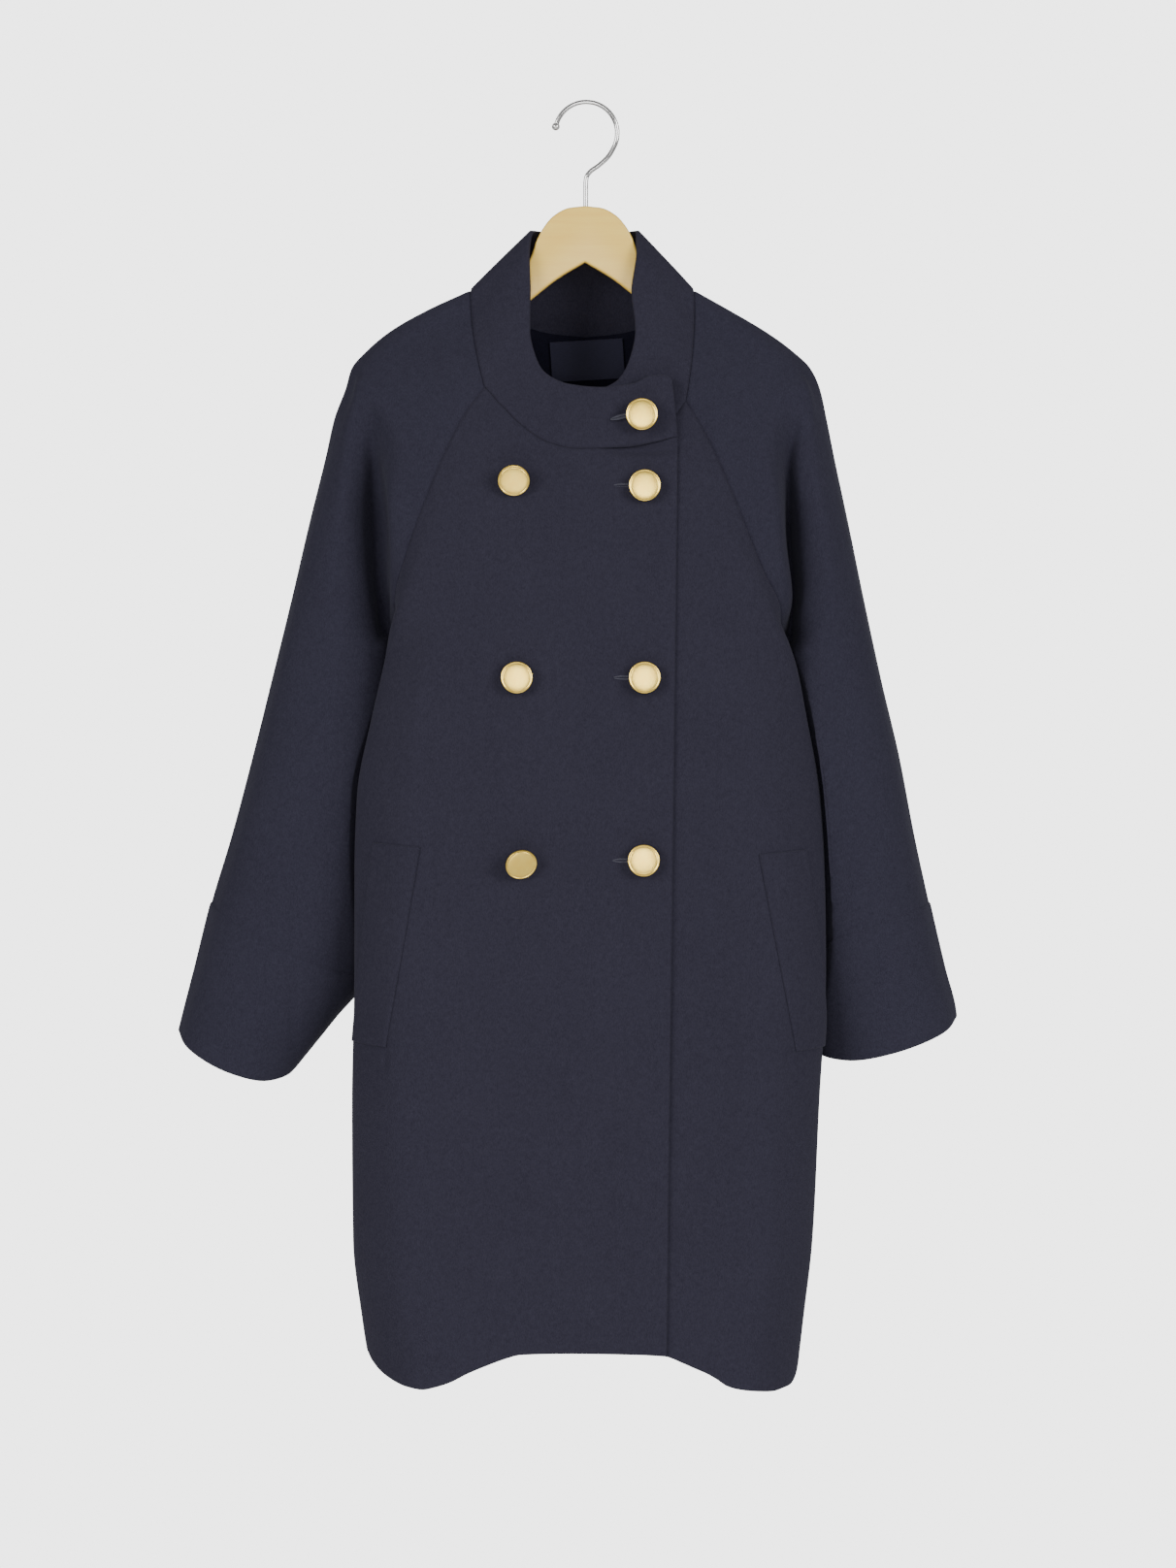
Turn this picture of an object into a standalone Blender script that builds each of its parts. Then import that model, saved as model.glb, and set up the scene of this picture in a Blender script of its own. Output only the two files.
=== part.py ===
"""A double-breasted wool coat with raglan sleeves, hanging on a wooden hanger.

Sizes are in millimetres, in tables whose rows go down the coat. `drop` is the distance below the
inside top of the hanger's hook, which is the origin. X runs to the viewer's right, Y into the
coat from the front, and Z up. Right and left in names are the wearer's, so the right side has
negative X.
"""
import math

import bmesh
import bpy
import numpy as np

MM = 0.001

# Cloth thicknesses and the space left where two pieces meet
CLOTH = 2.4
COLLAR_CLOTH = 3.2
CUFF_CLOTH = 3.4
WELT_CLOTH = 3.0
FACING_CLOTH = 1.6
LABEL_CLOTH = 1.2
FACING_GAP = 0.8
WELT_GAP = 1.1
FACING_DROP = 3.0
SEAM = 0.3
COLLAR_SEAM = 0.6
INNER_SEAM = 0.6
WELD = 0.5
MITRE_LIMIT = 1.5
ARM_AXIS_Y = 18.0
CUFF_PROUD = 1.2

# The fronts
FRONT_EDGE_OVER = 77.0
FRONT_EDGE_SLANT = 10.0
FRONT_EDGE_UNDER = -88.0
UNDER_SET_BACK = 3.3
CHEST_DOME = 1.0
ARMPIT = {"right": 490.0, "left": 500.0}
SIDES = {"right": -1.0, "left": 1.0}

# Buttons
BUTTON_RADIUS = 14.0
BUTTON_DEPTH = 5.4
SHANK_RADIUS = 2.6
SHANK_LENGTH = 3.6
COLLAR_BUTTON_Y = -54.0

# Hanger
WOOD_HALF_DEPTH = 5.0
WIRE_RADIUS = 2.1
HOOK_RADIUS = 27.4
BALL_RADIUS = 3.5

NAVY = (0.031, 0.030, 0.049)
NAVY_DARK = (0.012, 0.012, 0.021)
LABEL_NAVY = (0.020, 0.021, 0.035)
GOLD = (0.80, 0.62, 0.31)
MAPLE = (0.78, 0.60, 0.35)
STEEL = (0.62, 0.61, 0.59)


class Table:
    """Rows of sizes with named columns, read smoothly between rows by the first column."""

    def __init__(self, columns, rows):
        self.place = {name: index for index, name in enumerate(columns.split())}
        self.rows = np.array(rows, dtype=float)

    def at(self, name, key):
        return smooth(self.rows[:, 0], self.rows[:, self.place[name]], key)

    def first(self):
        return self.rows[0, 0]


def smooth(xs, ys, x):
    """Value at x on a smooth curve through (xs, ys) that never overshoots its points."""
    xs = np.asarray(xs, dtype=float)
    ys = np.asarray(ys, dtype=float)
    x = np.clip(np.asarray(x, dtype=float), xs[0], xs[-1])
    step = np.diff(xs)
    slope = np.diff(ys) / step
    tangent = np.zeros_like(ys)
    tangent[0] = slope[0]
    tangent[-1] = slope[-1]
    for k in range(1, len(xs) - 1):
        if slope[k - 1] * slope[k] > 0.0:
            before = 2.0 * step[k] + step[k - 1]
            after = step[k] + 2.0 * step[k - 1]
            tangent[k] = (before + after) / (before / slope[k - 1] + after / slope[k])
    i = np.clip(np.searchsorted(xs, x, side="right") - 1, 0, len(xs) - 2)
    t = (x - xs[i]) / step[i]
    return (ys[i] * (1 + 2 * t) * (1 - t) ** 2 + step[i] * tangent[i] * t * (1 - t) ** 2
            + ys[i + 1] * t * t * (3 - 2 * t) + step[i] * tangent[i + 1] * t * t * (t - 1))


# ---------------------------------------------------------------- sizes of the body of the coat

# Half of the body's front, as it turns from the flat front round to the side seam. Above the
# armpit the seam is the raglan seam.
BODY_SIDE = {
    "right": Table(
        "drop corner_x corner_y edge_x edge_y seam_x seam_y",
        [
            (253, 60, -41, 75, -40, 88, -38),
            (278, 76, -47, 92, -45, 106, -42),
            (316, 91, -52, 109, -50, 125, -46),
            (338, 101, -55, 118, -53, 134, -49),
            (372, 114, -58, 132, -56, 147, -50),
            (402, 125, -61, 144, -58, 157, -49),
            (440, 135, -63, 160, -55, 167, -37),
            (466, 138, -64, 169, -46, 163, -6),
            (490, 141, -65, 174, -39, 155, 10),
            (543, 150, -66, 187, -33, 152, 14),
            (611, 161, -67, 200, -31, 156, 18),
            (680, 167, -68, 202, -31, 163, 20),
            (765, 168, -69, 202, -31, 172, 20),
            (880, 169, -70, 204, -31, 180, 20),
            (1000, 167, -71, 203, -31, 181, 20),
            (1070, 161, -72, 195, -31, 174, 20),
            (1130, 152, -72, 185, -31, 166, 20),
        ]),
    "left": Table(
        "drop corner_x corner_y edge_x edge_y seam_x seam_y",
        [
            (266, 61, -41, 75, -40, 88, -38),
            (288, 74, -45, 90, -43, 102, -40),
            (316, 87, -49, 105, -47, 116, -43),
            (349, 101, -53, 118, -51, 130, -47),
            (382, 114, -57, 132, -54, 143, -49),
            (412, 124, -59, 144, -56, 155, -48),
            (452, 137, -61, 164, -53, 172, -36),
            (476, 143, -62, 176, -46, 172, -8),
            (500, 147, -62, 185, -38, 164, 10),
            (543, 154, -63, 194, -33, 160, 14),
            (611, 166, -64, 206, -31, 164, 18),
            (680, 173, -65, 210, -31, 171, 20),
            (765, 175, -66, 211, -31, 180, 20),
            (880, 170, -67, 205, -31, 182, 20),
            (1000, 165, -68, 199, -31, 178, 20),
            (1070, 158, -69, 191, -31, 170, 20),
            (1130, 151, -69, 184, -31, 163, 20),
        ]),
}

# Depth of the flat front in front of the hanger's plane
FRONT_DEPTH = Table(
    "drop depth",
    [(250, 43), (300, 51), (340, 57), (400, 63), (466, 66), (560, 68), (700, 70), (900, 72), (1136, 74)])

# The back: raglan seam, the corner where it turns in to the side, its depth and its soft flutes
BACK = Table(
    "drop raglan_x raglan_y corner_x corner_y depth flute",
    [
        (190, 68, 37, 52, 41, 46, 0),
        (240, 93, 46, 74, 51, 56, 0),
        (300, 116, 52, 96, 59, 65, 0),
        (360, 134, 55, 114, 63, 70, 1),
        (420, 149, 53, 128, 64, 73, 2),
        (462, 158, 36, 134, 64, 74, 3),
        (500, 155, 10, 135, 61, 75, 4),
        (560, 155, 10, 136, 62, 75, 5),
        (645, 155, 10, 140, 63, 75, 6),
        (765, 155, 10, 152, 62, 75, 7),
        (900, 155, 10, 160, 60, 74, 9),
        (1130, 155, 10, 150, 58, 75, 11),
    ])
FLUTES = 3.5

# Neckline of the fronts and hem of the coat. Reach is the way round from the centre front.
NECKLINE = {
    "right": Table(
        "x drop",
        [(-88, 253), (-80, 261), (-58, 285), (-33, 302), (-7, 308), (36, 307), (64, 302), (77, 298)]),
    "left": Table(
        "x drop",
        [(-88, 296), (-60, 303), (-30, 308), (10, 309), (44, 303), (66, 291), (81, 274), (88, 266)]),
}
HEM = {
    "right": Table(
        "reach drop",
        [(-80, 1099), (-45, 1097), (16, 1096), (56, 1097), (72, 1101), (86, 1106), (104, 1113),
         (122, 1121), (136, 1125), (147, 1127), (163, 1125), (173, 1122), (183, 1118), (193, 1113),
         (203, 1106), (215, 1097), (245, 1092), (290, 1090)]),
    "left": Table(
        "reach drop",
        [(-95, 1094), (40, 1095), (72, 1099), (85, 1104), (97, 1109), (107, 1113), (117, 1118),
         (127, 1124), (138, 1127), (155, 1129), (173, 1130), (186, 1128), (196, 1126), (203, 1121),
         (209, 1113), (217, 1101), (245, 1092), (290, 1090)]),
}
BACK_NECK = Table("x drop", [(0, 200), (34, 197), (68, 190)])
BACK_HEM = Table("x drop", [(0, 1090), (60, 1092), (120, 1090), (180, 1088)])
# Levels at which the necklines and hems are read off against the width of the panels
FRONT_NECK_LEVEL = 290.0
BACK_NECK_LEVEL = 195.0
FACING_LEVEL = 215.0
HEM_LEVEL = 1090.0

# ---------------------------------------------------------------- sizes of the sleeves

# The overarm line that shows as the outline, from the neck down to the cuff's hem
OVERARM = Table(
    "drop right left y",
    [
        (166, 101, 96, 0),
        (184, 140, 128, 0),
        (201, 170, 157, 0),
        (218, 191, 181, 1),
        (235, 206, 199, 3),
        (252, 211, 207, 4),
        (278, 221, 213, 7),
        (312, 229, 220, 11),
        (372, 244, 233, 14),
        (440, 260, 247, 16),
        (509, 277, 262, 17),
        (577, 294, 278, 18),
        (645, 312, 291, 18),
        (705, 330, 304, 18),
        (765, 345, 318, 18),
        (800, 354, 327, 18),
        (820, 359, 329, 18),
    ])

# Rows across a sleeve from its inner seam to the overarm line, as drops at both ends. `in_x` and
# `in_y` place the underarm seam below the armpit. `bow` lowers the row's middle.
SLEEVE_ROWS = {
    "right": Table(
        "out_drop front_drop back_drop in_x in_y bow",
        [
            (166, 253, 190, 0, 0, 0),
            (190, 278, 228, 0, 0, 0),
            (218, 316, 268, 0, 0, 0),
            (239, 338, 302, 0, 0, 0),
            (285, 372, 352, 0, 0, 0),
            (325, 402, 392, 0, 0, 0),
            (395, 440, 440, 0, 0, 0),
            (432, 466, 466, 0, 0, 0),
            (464, 490, 490, 159, 9, 0),
            (508, 534, 534, 160, 14, 0),
            (575, 610, 610, 163, 19, 4),
            (640, 688, 688, 171, 22, 8),
            (705, 767, 767, 190, 23, 12),
            (760, 808, 808, 222, 22, 18),
            (820, 849, 849, 255, 20, 22),
        ]),
    "left": Table(
        "out_drop front_drop back_drop in_x in_y bow",
        [
            (166, 266, 190, 0, 0, 0),
            (190, 288, 228, 0, 0, 0),
            (218, 318, 268, 0, 0, 0),
            (239, 345, 302, 0, 0, 0),
            (285, 382, 352, 0, 0, 0),
            (325, 412, 396, 0, 0, 0),
            (395, 452, 448, 0, 0, 0),
            (432, 476, 476, 0, 0, 0),
            (464, 500, 500, 168, 9, 0),
            (508, 540, 540, 168, 14, 0),
            (575, 606, 606, 169, 19, 1),
            (640, 676, 676, 172, 22, 2),
            (705, 746, 746, 174, 23, 4),
            (760, 790, 790, 186, 22, 12),
            (808, 834, 834, 200, 20, 18),
        ]),
}

# Depth across each row: a lip, the fold in front of the armpit, the rise out of it and the crest
# of the arm. `_f` is the share of the row's width from the inner seam.
SLEEVE_FRONT = {
    "right": Table(
        "out_drop lip_f lip_y fold_f fold_y rise_f rise_y crest_f crest_y",
        [
            (166, 0.15, -35, 0.35, -28, 0.55, -18, 0.80, -7),
            (190, 0.15, -39, 0.35, -32, 0.55, -23, 0.80, -11),
            (218, 0.20, -43, 0.45, -35, 0.62, -28, 0.80, -18),
            (239, 0.32, -44, 0.68, -27, 0.79, -24, 0.90, -17),
            (285, 0.30, -46, 0.52, -8, 0.65, -17, 0.83, -20),
            (325, 0.18, -43, 0.37, 2, 0.53, -14, 0.76, -22),
            (395, 0.06, -30, 0.17, 5, 0.33, -13, 0.66, -24),
            (432, 0.04, 0, 0.10, 5, 0.25, -12, 0.61, -25),
            (464, 0.02, 5, 0.07, -1, 0.21, -15, 0.56, -25),
            (508, 0.02, 5, 0.08, -5, 0.22, -18, 0.54, -25),
            (575, 0.02, 8, 0.08, -4, 0.22, -19, 0.52, -26),
            (640, 0.02, 10, 0.08, -3, 0.22, -19, 0.52, -27),
            (705, 0.02, 12, 0.08, -2, 0.24, -18, 0.55, -27),
            (760, 0.02, 12, 0.08, 0, 0.24, -14, 0.55, -24),
            (820, 0.02, 12, 0.08, 2, 0.24, -10, 0.55, -20),
        ]),
    "left": Table(
        "out_drop lip_f lip_y fold_f fold_y rise_f rise_y crest_f crest_y",
        [
            (166, 0.15, -35, 0.35, -28, 0.55, -18, 0.80, -7),
            (190, 0.15, -38, 0.35, -32, 0.55, -23, 0.80, -11),
            (218, 0.20, -41, 0.45, -34, 0.62, -27, 0.80, -18),
            (239, 0.32, -43, 0.68, -27, 0.79, -25, 0.90, -18),
            (285, 0.34, -46, 0.50, -12, 0.62, -25, 0.81, -25),
            (325, 0.24, -44, 0.36, 2, 0.50, -22, 0.74, -28),
            (395, 0.08, -32, 0.17, 5, 0.31, -22, 0.64, -32),
            (432, 0.04, 0, 0.10, 4, 0.23, -20, 0.60, -34),
            (464, 0.02, 4, 0.07, -4, 0.20, -24, 0.56, -35),
            (508, 0.02, 3, 0.08, -10, 0.22, -29, 0.54, -36),
            (575, 0.02, 5, 0.08, -10, 0.22, -32, 0.52, -38),
            (640, 0.02, 8, 0.08, -8, 0.22, -30, 0.52, -38),
            (705, 0.02, 11, 0.08, -5, 0.24, -22, 0.55, -34),
            (760, 0.02, 12, 0.08, -1, 0.24, -16, 0.55, -28),
            (808, 0.02, 12, 0.08, 1, 0.24, -12, 0.55, -24),
        ]),
}
SLEEVE_BACK = Table(
    "out_drop lip_f lip_y fold_f fold_y rise_f rise_y crest_f crest_y",
    [
        (166, 0.15, 35, 0.35, 29, 0.55, 21, 0.80, 9),
        (190, 0.15, 42, 0.35, 36, 0.55, 28, 0.80, 14),
        (218, 0.20, 46, 0.45, 38, 0.62, 31, 0.80, 20),
        (239, 0.25, 49, 0.58, 38, 0.72, 32, 0.88, 21),
        (285, 0.28, 50, 0.52, 37, 0.67, 38, 0.84, 31),
        (325, 0.24, 50, 0.44, 34, 0.60, 41, 0.80, 38),
        (395, 0.11, 43, 0.27, 29, 0.45, 43, 0.72, 48),
        (432, 0.06, 27, 0.15, 26, 0.33, 42, 0.63, 51),
        (464, 0.02, 17, 0.08, 25, 0.25, 42, 0.58, 54),
        (508, 0.02, 23, 0.08, 33, 0.24, 48, 0.55, 57),
        (575, 0.02, 27, 0.08, 36, 0.24, 50, 0.55, 59),
        (640, 0.02, 30, 0.08, 38, 0.24, 50, 0.55, 59),
        (705, 0.02, 31, 0.08, 39, 0.25, 51, 0.55, 58),
        (760, 0.02, 30, 0.08, 38, 0.26, 49, 0.55, 55),
        (820, 0.02, 28, 0.09, 36, 0.27, 46, 0.55, 51),
    ])
TURN_F = 0.93
TURN_SHARE = 0.55
CUFF_OUT = {"right": (705.0, 820.0), "left": (705.0, 808.0)}
# How far the first rows of the front sleeves bow outwards, which rounds the neck seam
NECK_BOW = Table("out_drop bow", [(166, 2.8), (190, 2.2), (218, 1), (239, 0)])
# The rear half of a cuff bows this much less by 100 mm below its seam
CUFF_BACK_BOW = 5.0
CUFF_BACK_SPAN = 100.0

# The gap that a sleeve keeps beside the body: per millimetre from the seam and down from the armpit
CLEAR_ABOVE_ARMPIT = 30.0
GAP_FROM_SEAM = 0.18
GAP_FROM_SEAM_MOST = 3.4
GAP_DOWN = 0.05
GAP_DOWN_MOST = 2.4

# ---------------------------------------------------------------- sizes of the small pieces

# The collar's top edge, from the hidden left end round the back to the tab at the right end.
# `mark` counts seams passed on the way: 1 left front raglan, 2 neck side, 3 back raglan,
# 4 and 5 the right side's, 6 right front raglan, 7 the tab's end.
COLLAR_TOP = Table(
    "mark x y drop",
    [
        (0.00, -30, -34, 250), (0.35, 2, -38, 257), (0.60, 26, -38, 249), (0.80, 38, -34, 231),
        (1.00, 44, -28, 204), (1.45, 41, -22, 168), (1.75, 46, -14, 132), (2.00, 46, 0, 113),
        (2.50, 41, 17, 112), (3.00, 30, 27, 113), (3.50, 0, 34, 115), (4.00, -30, 27, 113),
        (4.50, -41, 17, 112), (5.00, -47, 0, 113), (5.25, -49.5, -14, 132), (5.55, -48, -22, 168),
        (6.00, -48, -28, 204), (6.20, -38, -36, 237), (6.40, -14, -43, 251), (6.60, 14, -46, 254),
        (6.78, 42, -47, 251), (6.88, 58, -47, 244), (6.96, 70, -47, 243.5), (7.00, 76, -47, 248),
    ])
COLLAR_BULGE = 0.4
COLLAR_ROWS = 4
# The collar's hidden end steps back under the tab over this many marks
UNDER_TAB_MARKS = 0.35
UNDER_TAB_SET_BACK = 3.4

# Inside the back neck: the facing's depth at the middle and what it loses 80 mm out, and the label
FACING_DEPTH = 62.0
FACING_DEPTH_LOSS = 14.0
FACING_REACH = 80.0
LABEL_X = 0.8
LABEL_HALF_WIDTH = 32.7
LABEL_DROP = 205.5
LABEL_LENGTH = 35.0
# The label hangs slightly askew: its wearer's left end is higher and its foot lies further left
LABEL_RISE = 1.8
LABEL_LEAN = 2.4

WELT_TOP = {"right": 652.0, "left": 658.0}
WELT_BOTTOM = {"right": 826.0, "left": 830.0}
WELT_INNER = {"right": (143.0, 173.0), "left": (151.0, 184.0)}
WELT_WIDTH = 46.0
WELT_INNER_FALL = 4.0

# name, x, drop, tilt about X and about Z in degrees
BUTTONS = [
    ("button_collar", 49.5, 279.0, 0.0, 0.0),
    ("button_right_1", 52.0, 341.0, 0.0, 0.0),
    ("button_right_2", 51.8, 508.5, 0.0, 0.0),
    ("button_right_3", 51.0, 667.5, 0.0, 0.0),
    ("button_left_1", -62.0, 336.0, 20.0, 0.0),
    ("button_left_2", -59.3, 508.5, 0.0, 0.0),
    ("button_left_3", -56.0, 669.5, 26.0, 14.0),
]

WOOD_TOP = [(0, 92), (14, 93.5), (27, 100), (36, 110), (42.5, 122), (48, 137), (60, 154), (80, 174), (100, 192),
            (125, 205), (150, 216), (175, 230), (187, 241)]
WOOD_END = [(193, 248), (195, 255), (190, 261)]
WOOD_BOTTOM = [(179, 260), (150, 245), (100, 216), (47, 174), (24, 156), (0, 141.5)]


# ---------------------------------------------------------------- making meshes

def material(name, colour, roughness, metallic=0.0):
    """A Principled material of one colour."""
    finish = bpy.data.materials.new(name)
    finish.use_nodes = True
    shader = finish.node_tree.nodes["Principled BSDF"]
    shader.inputs["Base Color"].default_value = (*colour, 1.0)
    shader.inputs["Roughness"].default_value = roughness
    shader.inputs["Metallic"].default_value = metallic
    finish.diffuse_color = (*colour, 1.0)
    return finish


def add_object(name, points, faces, finish):
    """One named object from points in millimetres, given as x, y and drop."""
    mesh = bpy.data.meshes.new(name)
    mesh.from_pydata([(x * MM, y * MM, -drop * MM) for x, y, drop in points], [], faces)
    body = bmesh.new()
    body.from_mesh(mesh)
    bmesh.ops.recalc_face_normals(body, faces=body.faces)
    bmesh.ops.triangulate(body, faces=body.faces)
    body.to_mesh(mesh)
    body.free()
    mesh.materials.append(finish)
    mesh.shade_smooth()
    mesh.set_sharp_from_angle(angle=math.radians(40.0))
    thing = bpy.data.objects.new(name, mesh)
    bpy.context.collection.objects.link(thing)
    return thing


def patch_normals(grid, inside, wraps=False):
    """Sums of the unit normals of the patches round each point, and how many patches that is.

    The normals point away from `inside`.
    """
    if wraps:
        grid = np.concatenate([grid, grid[:, :1]], axis=1)
        inside = np.concatenate([inside, inside[:, :1]], axis=1)
    patch = np.cross(grid[1:, 1:] - grid[:-1, :-1], grid[1:, :-1] - grid[:-1, 1:])
    patch /= np.linalg.norm(patch, axis=2, keepdims=True)
    patch = np.concatenate([patch, np.ones_like(patch[:, :, :1])], axis=2)
    total = np.zeros((*grid.shape[:2], 4))
    for rows, columns in ((slice(1, None), slice(1, None)), (slice(1, None), slice(None, -1)),
                          (slice(None, -1), slice(1, None)), (slice(None, -1), slice(None, -1))):
        total[rows, columns] += patch
    if wraps:
        total[:, 0] += total[:, -1]
        total = total[:, :-1]
        grid = grid[:, :-1]
        inside = inside[:, :-1]
    total[:, :, :3] *= np.sign(np.sum(total[:, :, :3] * (grid - inside)))
    return total


def mitred(total):
    """Offsets that keep a wall's thickness where it bends, from sums of patch normals."""
    length = np.linalg.norm(total[:, :, :3], axis=2, keepdims=True)
    stretch = np.minimum(total[:, :, 3:] / length, MITRE_LIMIT)
    return total[:, :, :3] / length * stretch


def rim_places(grid, wraps):
    """Row and column of each point on a grid's edges."""
    rows, columns = grid.shape[:2]
    places = [(0, column) for column in range(columns)] + [(rows - 1, column) for column in range(columns)]
    if not wraps:
        places += [(row, column) for row in range(1, rows - 1) for column in (0, columns - 1)]
    return places


def shared_normals(panels):
    """Offsets along the normals of every panel, the same on both sides of each seam."""
    normals = {}
    rims = []
    for name, (grid, inside, wraps) in panels.items():
        normals[name] = patch_normals(grid, inside, wraps)
        rims += [(name, *place) for place in rim_places(grid, wraps)]
    points = np.array([panels[name][0][row, column] for name, row, column in rims])
    own = np.array([normals[name][row, column] for name, row, column in rims])
    apart = np.linalg.norm(points[:, None] - points[None, :], axis=2)
    shared = (apart < WELD).astype(float) @ own
    for (name, row, column), normal in zip(rims, shared):
        normals[name][row, column] = normal
    return {name: mitred(total) for name, total in normals.items()}


def pull_in(grid, gap, wraps=False):
    """The same grid with its edges drawn in by gap, so that neighbours stay apart."""
    grid = grid.copy()
    edges = [(0, 1, 0), (-1, -2, 0)]
    if not wraps:
        edges += [(0, 1, 1), (-1, -2, 1)]
    for edge, inner, axis in edges:
        here = grid[edge] if axis == 0 else grid[:, edge]
        there = grid[inner] if axis == 0 else grid[:, inner]
        way = there - here
        way = way / (np.linalg.norm(way, axis=1, keepdims=True) + 1e-12)
        if axis == 0:
            grid[edge] = here + way * gap
        else:
            grid[:, edge] = here + way * gap
    return grid


def wall(name, grid, normal, thickness, finish, wraps=False, lift=0.0, gap=SEAM):
    """A closed wall of cloth whose outer face is the grid, raised by lift along its normals.

    A grid that wraps is a tube whose last column is followed by its first.
    """
    outer = pull_in(grid + normal * lift, gap / 2, wraps)
    inner = pull_in(grid + normal * (lift - thickness), gap / 2 + INNER_SEAM / 2, wraps)
    rows, columns = grid.shape[:2]
    count = rows * columns
    points = np.concatenate([outer.reshape(-1, 3), inner.reshape(-1, 3)])
    faces = []
    spans = columns if wraps else columns - 1
    for row in range(rows - 1):
        for column in range(spans):
            after = (column + 1) % columns
            a = row * columns + column
            b = row * columns + after
            c = b + columns
            d = a + columns
            faces.append((a, b, c, d))
            faces.append((d + count, c + count, b + count, a + count))
    for column in range(spans):
        after = (column + 1) % columns
        low = (rows - 1) * columns
        faces.append((after, column, column + count, after + count))
        faces.append((low + column, low + after, low + after + count, low + column + count))
    if not wraps:
        for row in range(rows - 1):
            left = row * columns
            right = left + columns - 1
            faces.append((left, left + columns, left + columns + count, left + count))
            faces.append((right + columns, right, right + count, right + columns + count))
    return add_object(name, points, faces, finish)


def curve_through(points, at):
    """Points at `at` on smooth curves through points, an array of (controls, curves, 3).

    Whole numbers in `at` are the controls themselves.
    """
    step = np.linalg.norm(np.diff(points, axis=0), axis=2, keepdims=True) + 1e-9
    slope = np.diff(points, axis=0) / step
    tangent = np.empty_like(points)
    tangent[0] = slope[0]
    tangent[-1] = slope[-1]
    tangent[1:-1] = (slope[:-1] * step[1:] + slope[1:] * step[:-1]) / (step[1:] + step[:-1])
    span = np.clip(np.floor(at).astype(int), 0, len(points) - 2)
    curve = np.arange(points.shape[1])
    t = (at - span)[:, None]
    length = step[span, curve]
    return (points[span, curve] * (1 + 2 * t) * (1 - t) ** 2
            + length * tangent[span, curve] * t * (1 - t) ** 2
            + points[span + 1, curve] * t * t * (3 - 2 * t)
            + length * tangent[span + 1, curve] * t * t * (t - 1))


def divisions(counts):
    """Places along a curve with counts[k] equal steps between control k and control k + 1."""
    places = [k + step / count for k, count in enumerate(counts) for step in range(count)]
    return np.array(places + [float(len(counts))])


# ---------------------------------------------------------------- the fronts and the back

def front_surface(x, drop, set_back):
    """Y of the flat front at x."""
    return -FRONT_DEPTH.at("depth", drop) + CHEST_DOME * (x / 100.0) ** 2 + set_back


def front_controls(side, drop, near_x):
    """Control points across a front at each drop, from near_x round to its seam."""
    sign = SIDES[side]
    table = BODY_SIDE[side]
    set_back = 0.0 if side == "right" else UNDER_SET_BACK
    corner_x = sign * table.at("corner_x", drop)
    xs = [near_x, near_x + (corner_x - near_x) * 0.35, near_x + (corner_x - near_x) * 0.70]
    controls = [np.stack([x, front_surface(x, drop, set_back), drop], axis=1) for x in xs]
    for name in ("corner", "edge", "seam"):
        x = sign * table.at(name + "_x", drop)
        controls.append(np.stack([x, table.at(name + "_y", drop), drop], axis=1))
    return np.array(controls)


def front_edge_x(side, drop):
    """X of a front's free edge."""
    if side == "left":
        return np.full_like(drop, FRONT_EDGE_UNDER)
    fall = (drop - 300.0) / 800.0
    return FRONT_EDGE_OVER + 4.0 - FRONT_EDGE_SLANT * fall


def front_point(side, at, drop):
    """Points on a front at places `at` across it and at drops, both flat arrays."""
    return curve_through(front_controls(side, drop, front_edge_x(side, drop)), at)


def reach_of(side, at, drop):
    """Way round the front from the centre line to each place across, at one drop."""
    fine = np.linspace(0.0, 5.0, 401)
    line = front_point(side, fine, np.full_like(fine, drop))
    steps = np.linalg.norm(np.diff(line, axis=0), axis=1)
    length = np.concatenate([[0.0], np.cumsum(steps)])
    centre = np.interp(0.0, SIDES[side] * line[:200, 0], length[:200])
    return np.interp(at, fine, length) - centre


def neck_drops(side, at):
    """Drop of a front's neckline at each place across it."""
    drop = np.full_like(at, FRONT_NECK_LEVEL)
    lowest = BODY_SIDE[side].first()
    for _ in range(12):
        x = front_point(side, at, np.maximum(drop, lowest))[:, 0]
        drop = NECKLINE[side].at("drop", x)
    return np.maximum(drop, lowest)


def raglan_shares(side, rows, which):
    """How far each sleeve row above the armpit is down its raglan seam, from 0 to 1."""
    drops = SLEEVE_ROWS[side].at(which, sleeve_out_drops(side, rows))
    return (drops - drops[0]) / (drops[-1] - drops[0])


def sleeve_out_drops(side, rows):
    """Overarm drops of the sleeve rows from the neckline to the armpit."""
    table = SLEEVE_ROWS[side].rows
    armpit_row = int(np.argmax(table[:, 1] >= ARMPIT[side]))
    places = np.linspace(0.0, armpit_row, rows + 1)
    return smooth(np.arange(len(table)), table[:, 0], places)


UPPER_ROWS = 8
LOWER_ROWS = 9
FRONT_COLUMNS = (2, 2, 3, 3, 2)


def front_grid(side, columns=FRONT_COLUMNS):
    """Outer points of a front, row by row from the neckline to the hem."""
    at = divisions(columns)
    top = neck_drops(side, at)
    hem = HEM[side].at("drop", reach_of(side, at, HEM_LEVEL))
    shares = raglan_shares(side, UPPER_ROWS, "front_drop")
    upper = [top + (ARMPIT[side] - top) * share for share in shares]
    lower = [ARMPIT[side] + (hem - ARMPIT[side]) * k / LOWER_ROWS for k in range(1, LOWER_ROWS + 1)]
    return np.array([front_point(side, at, drop) for drop in upper + lower])


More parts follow.
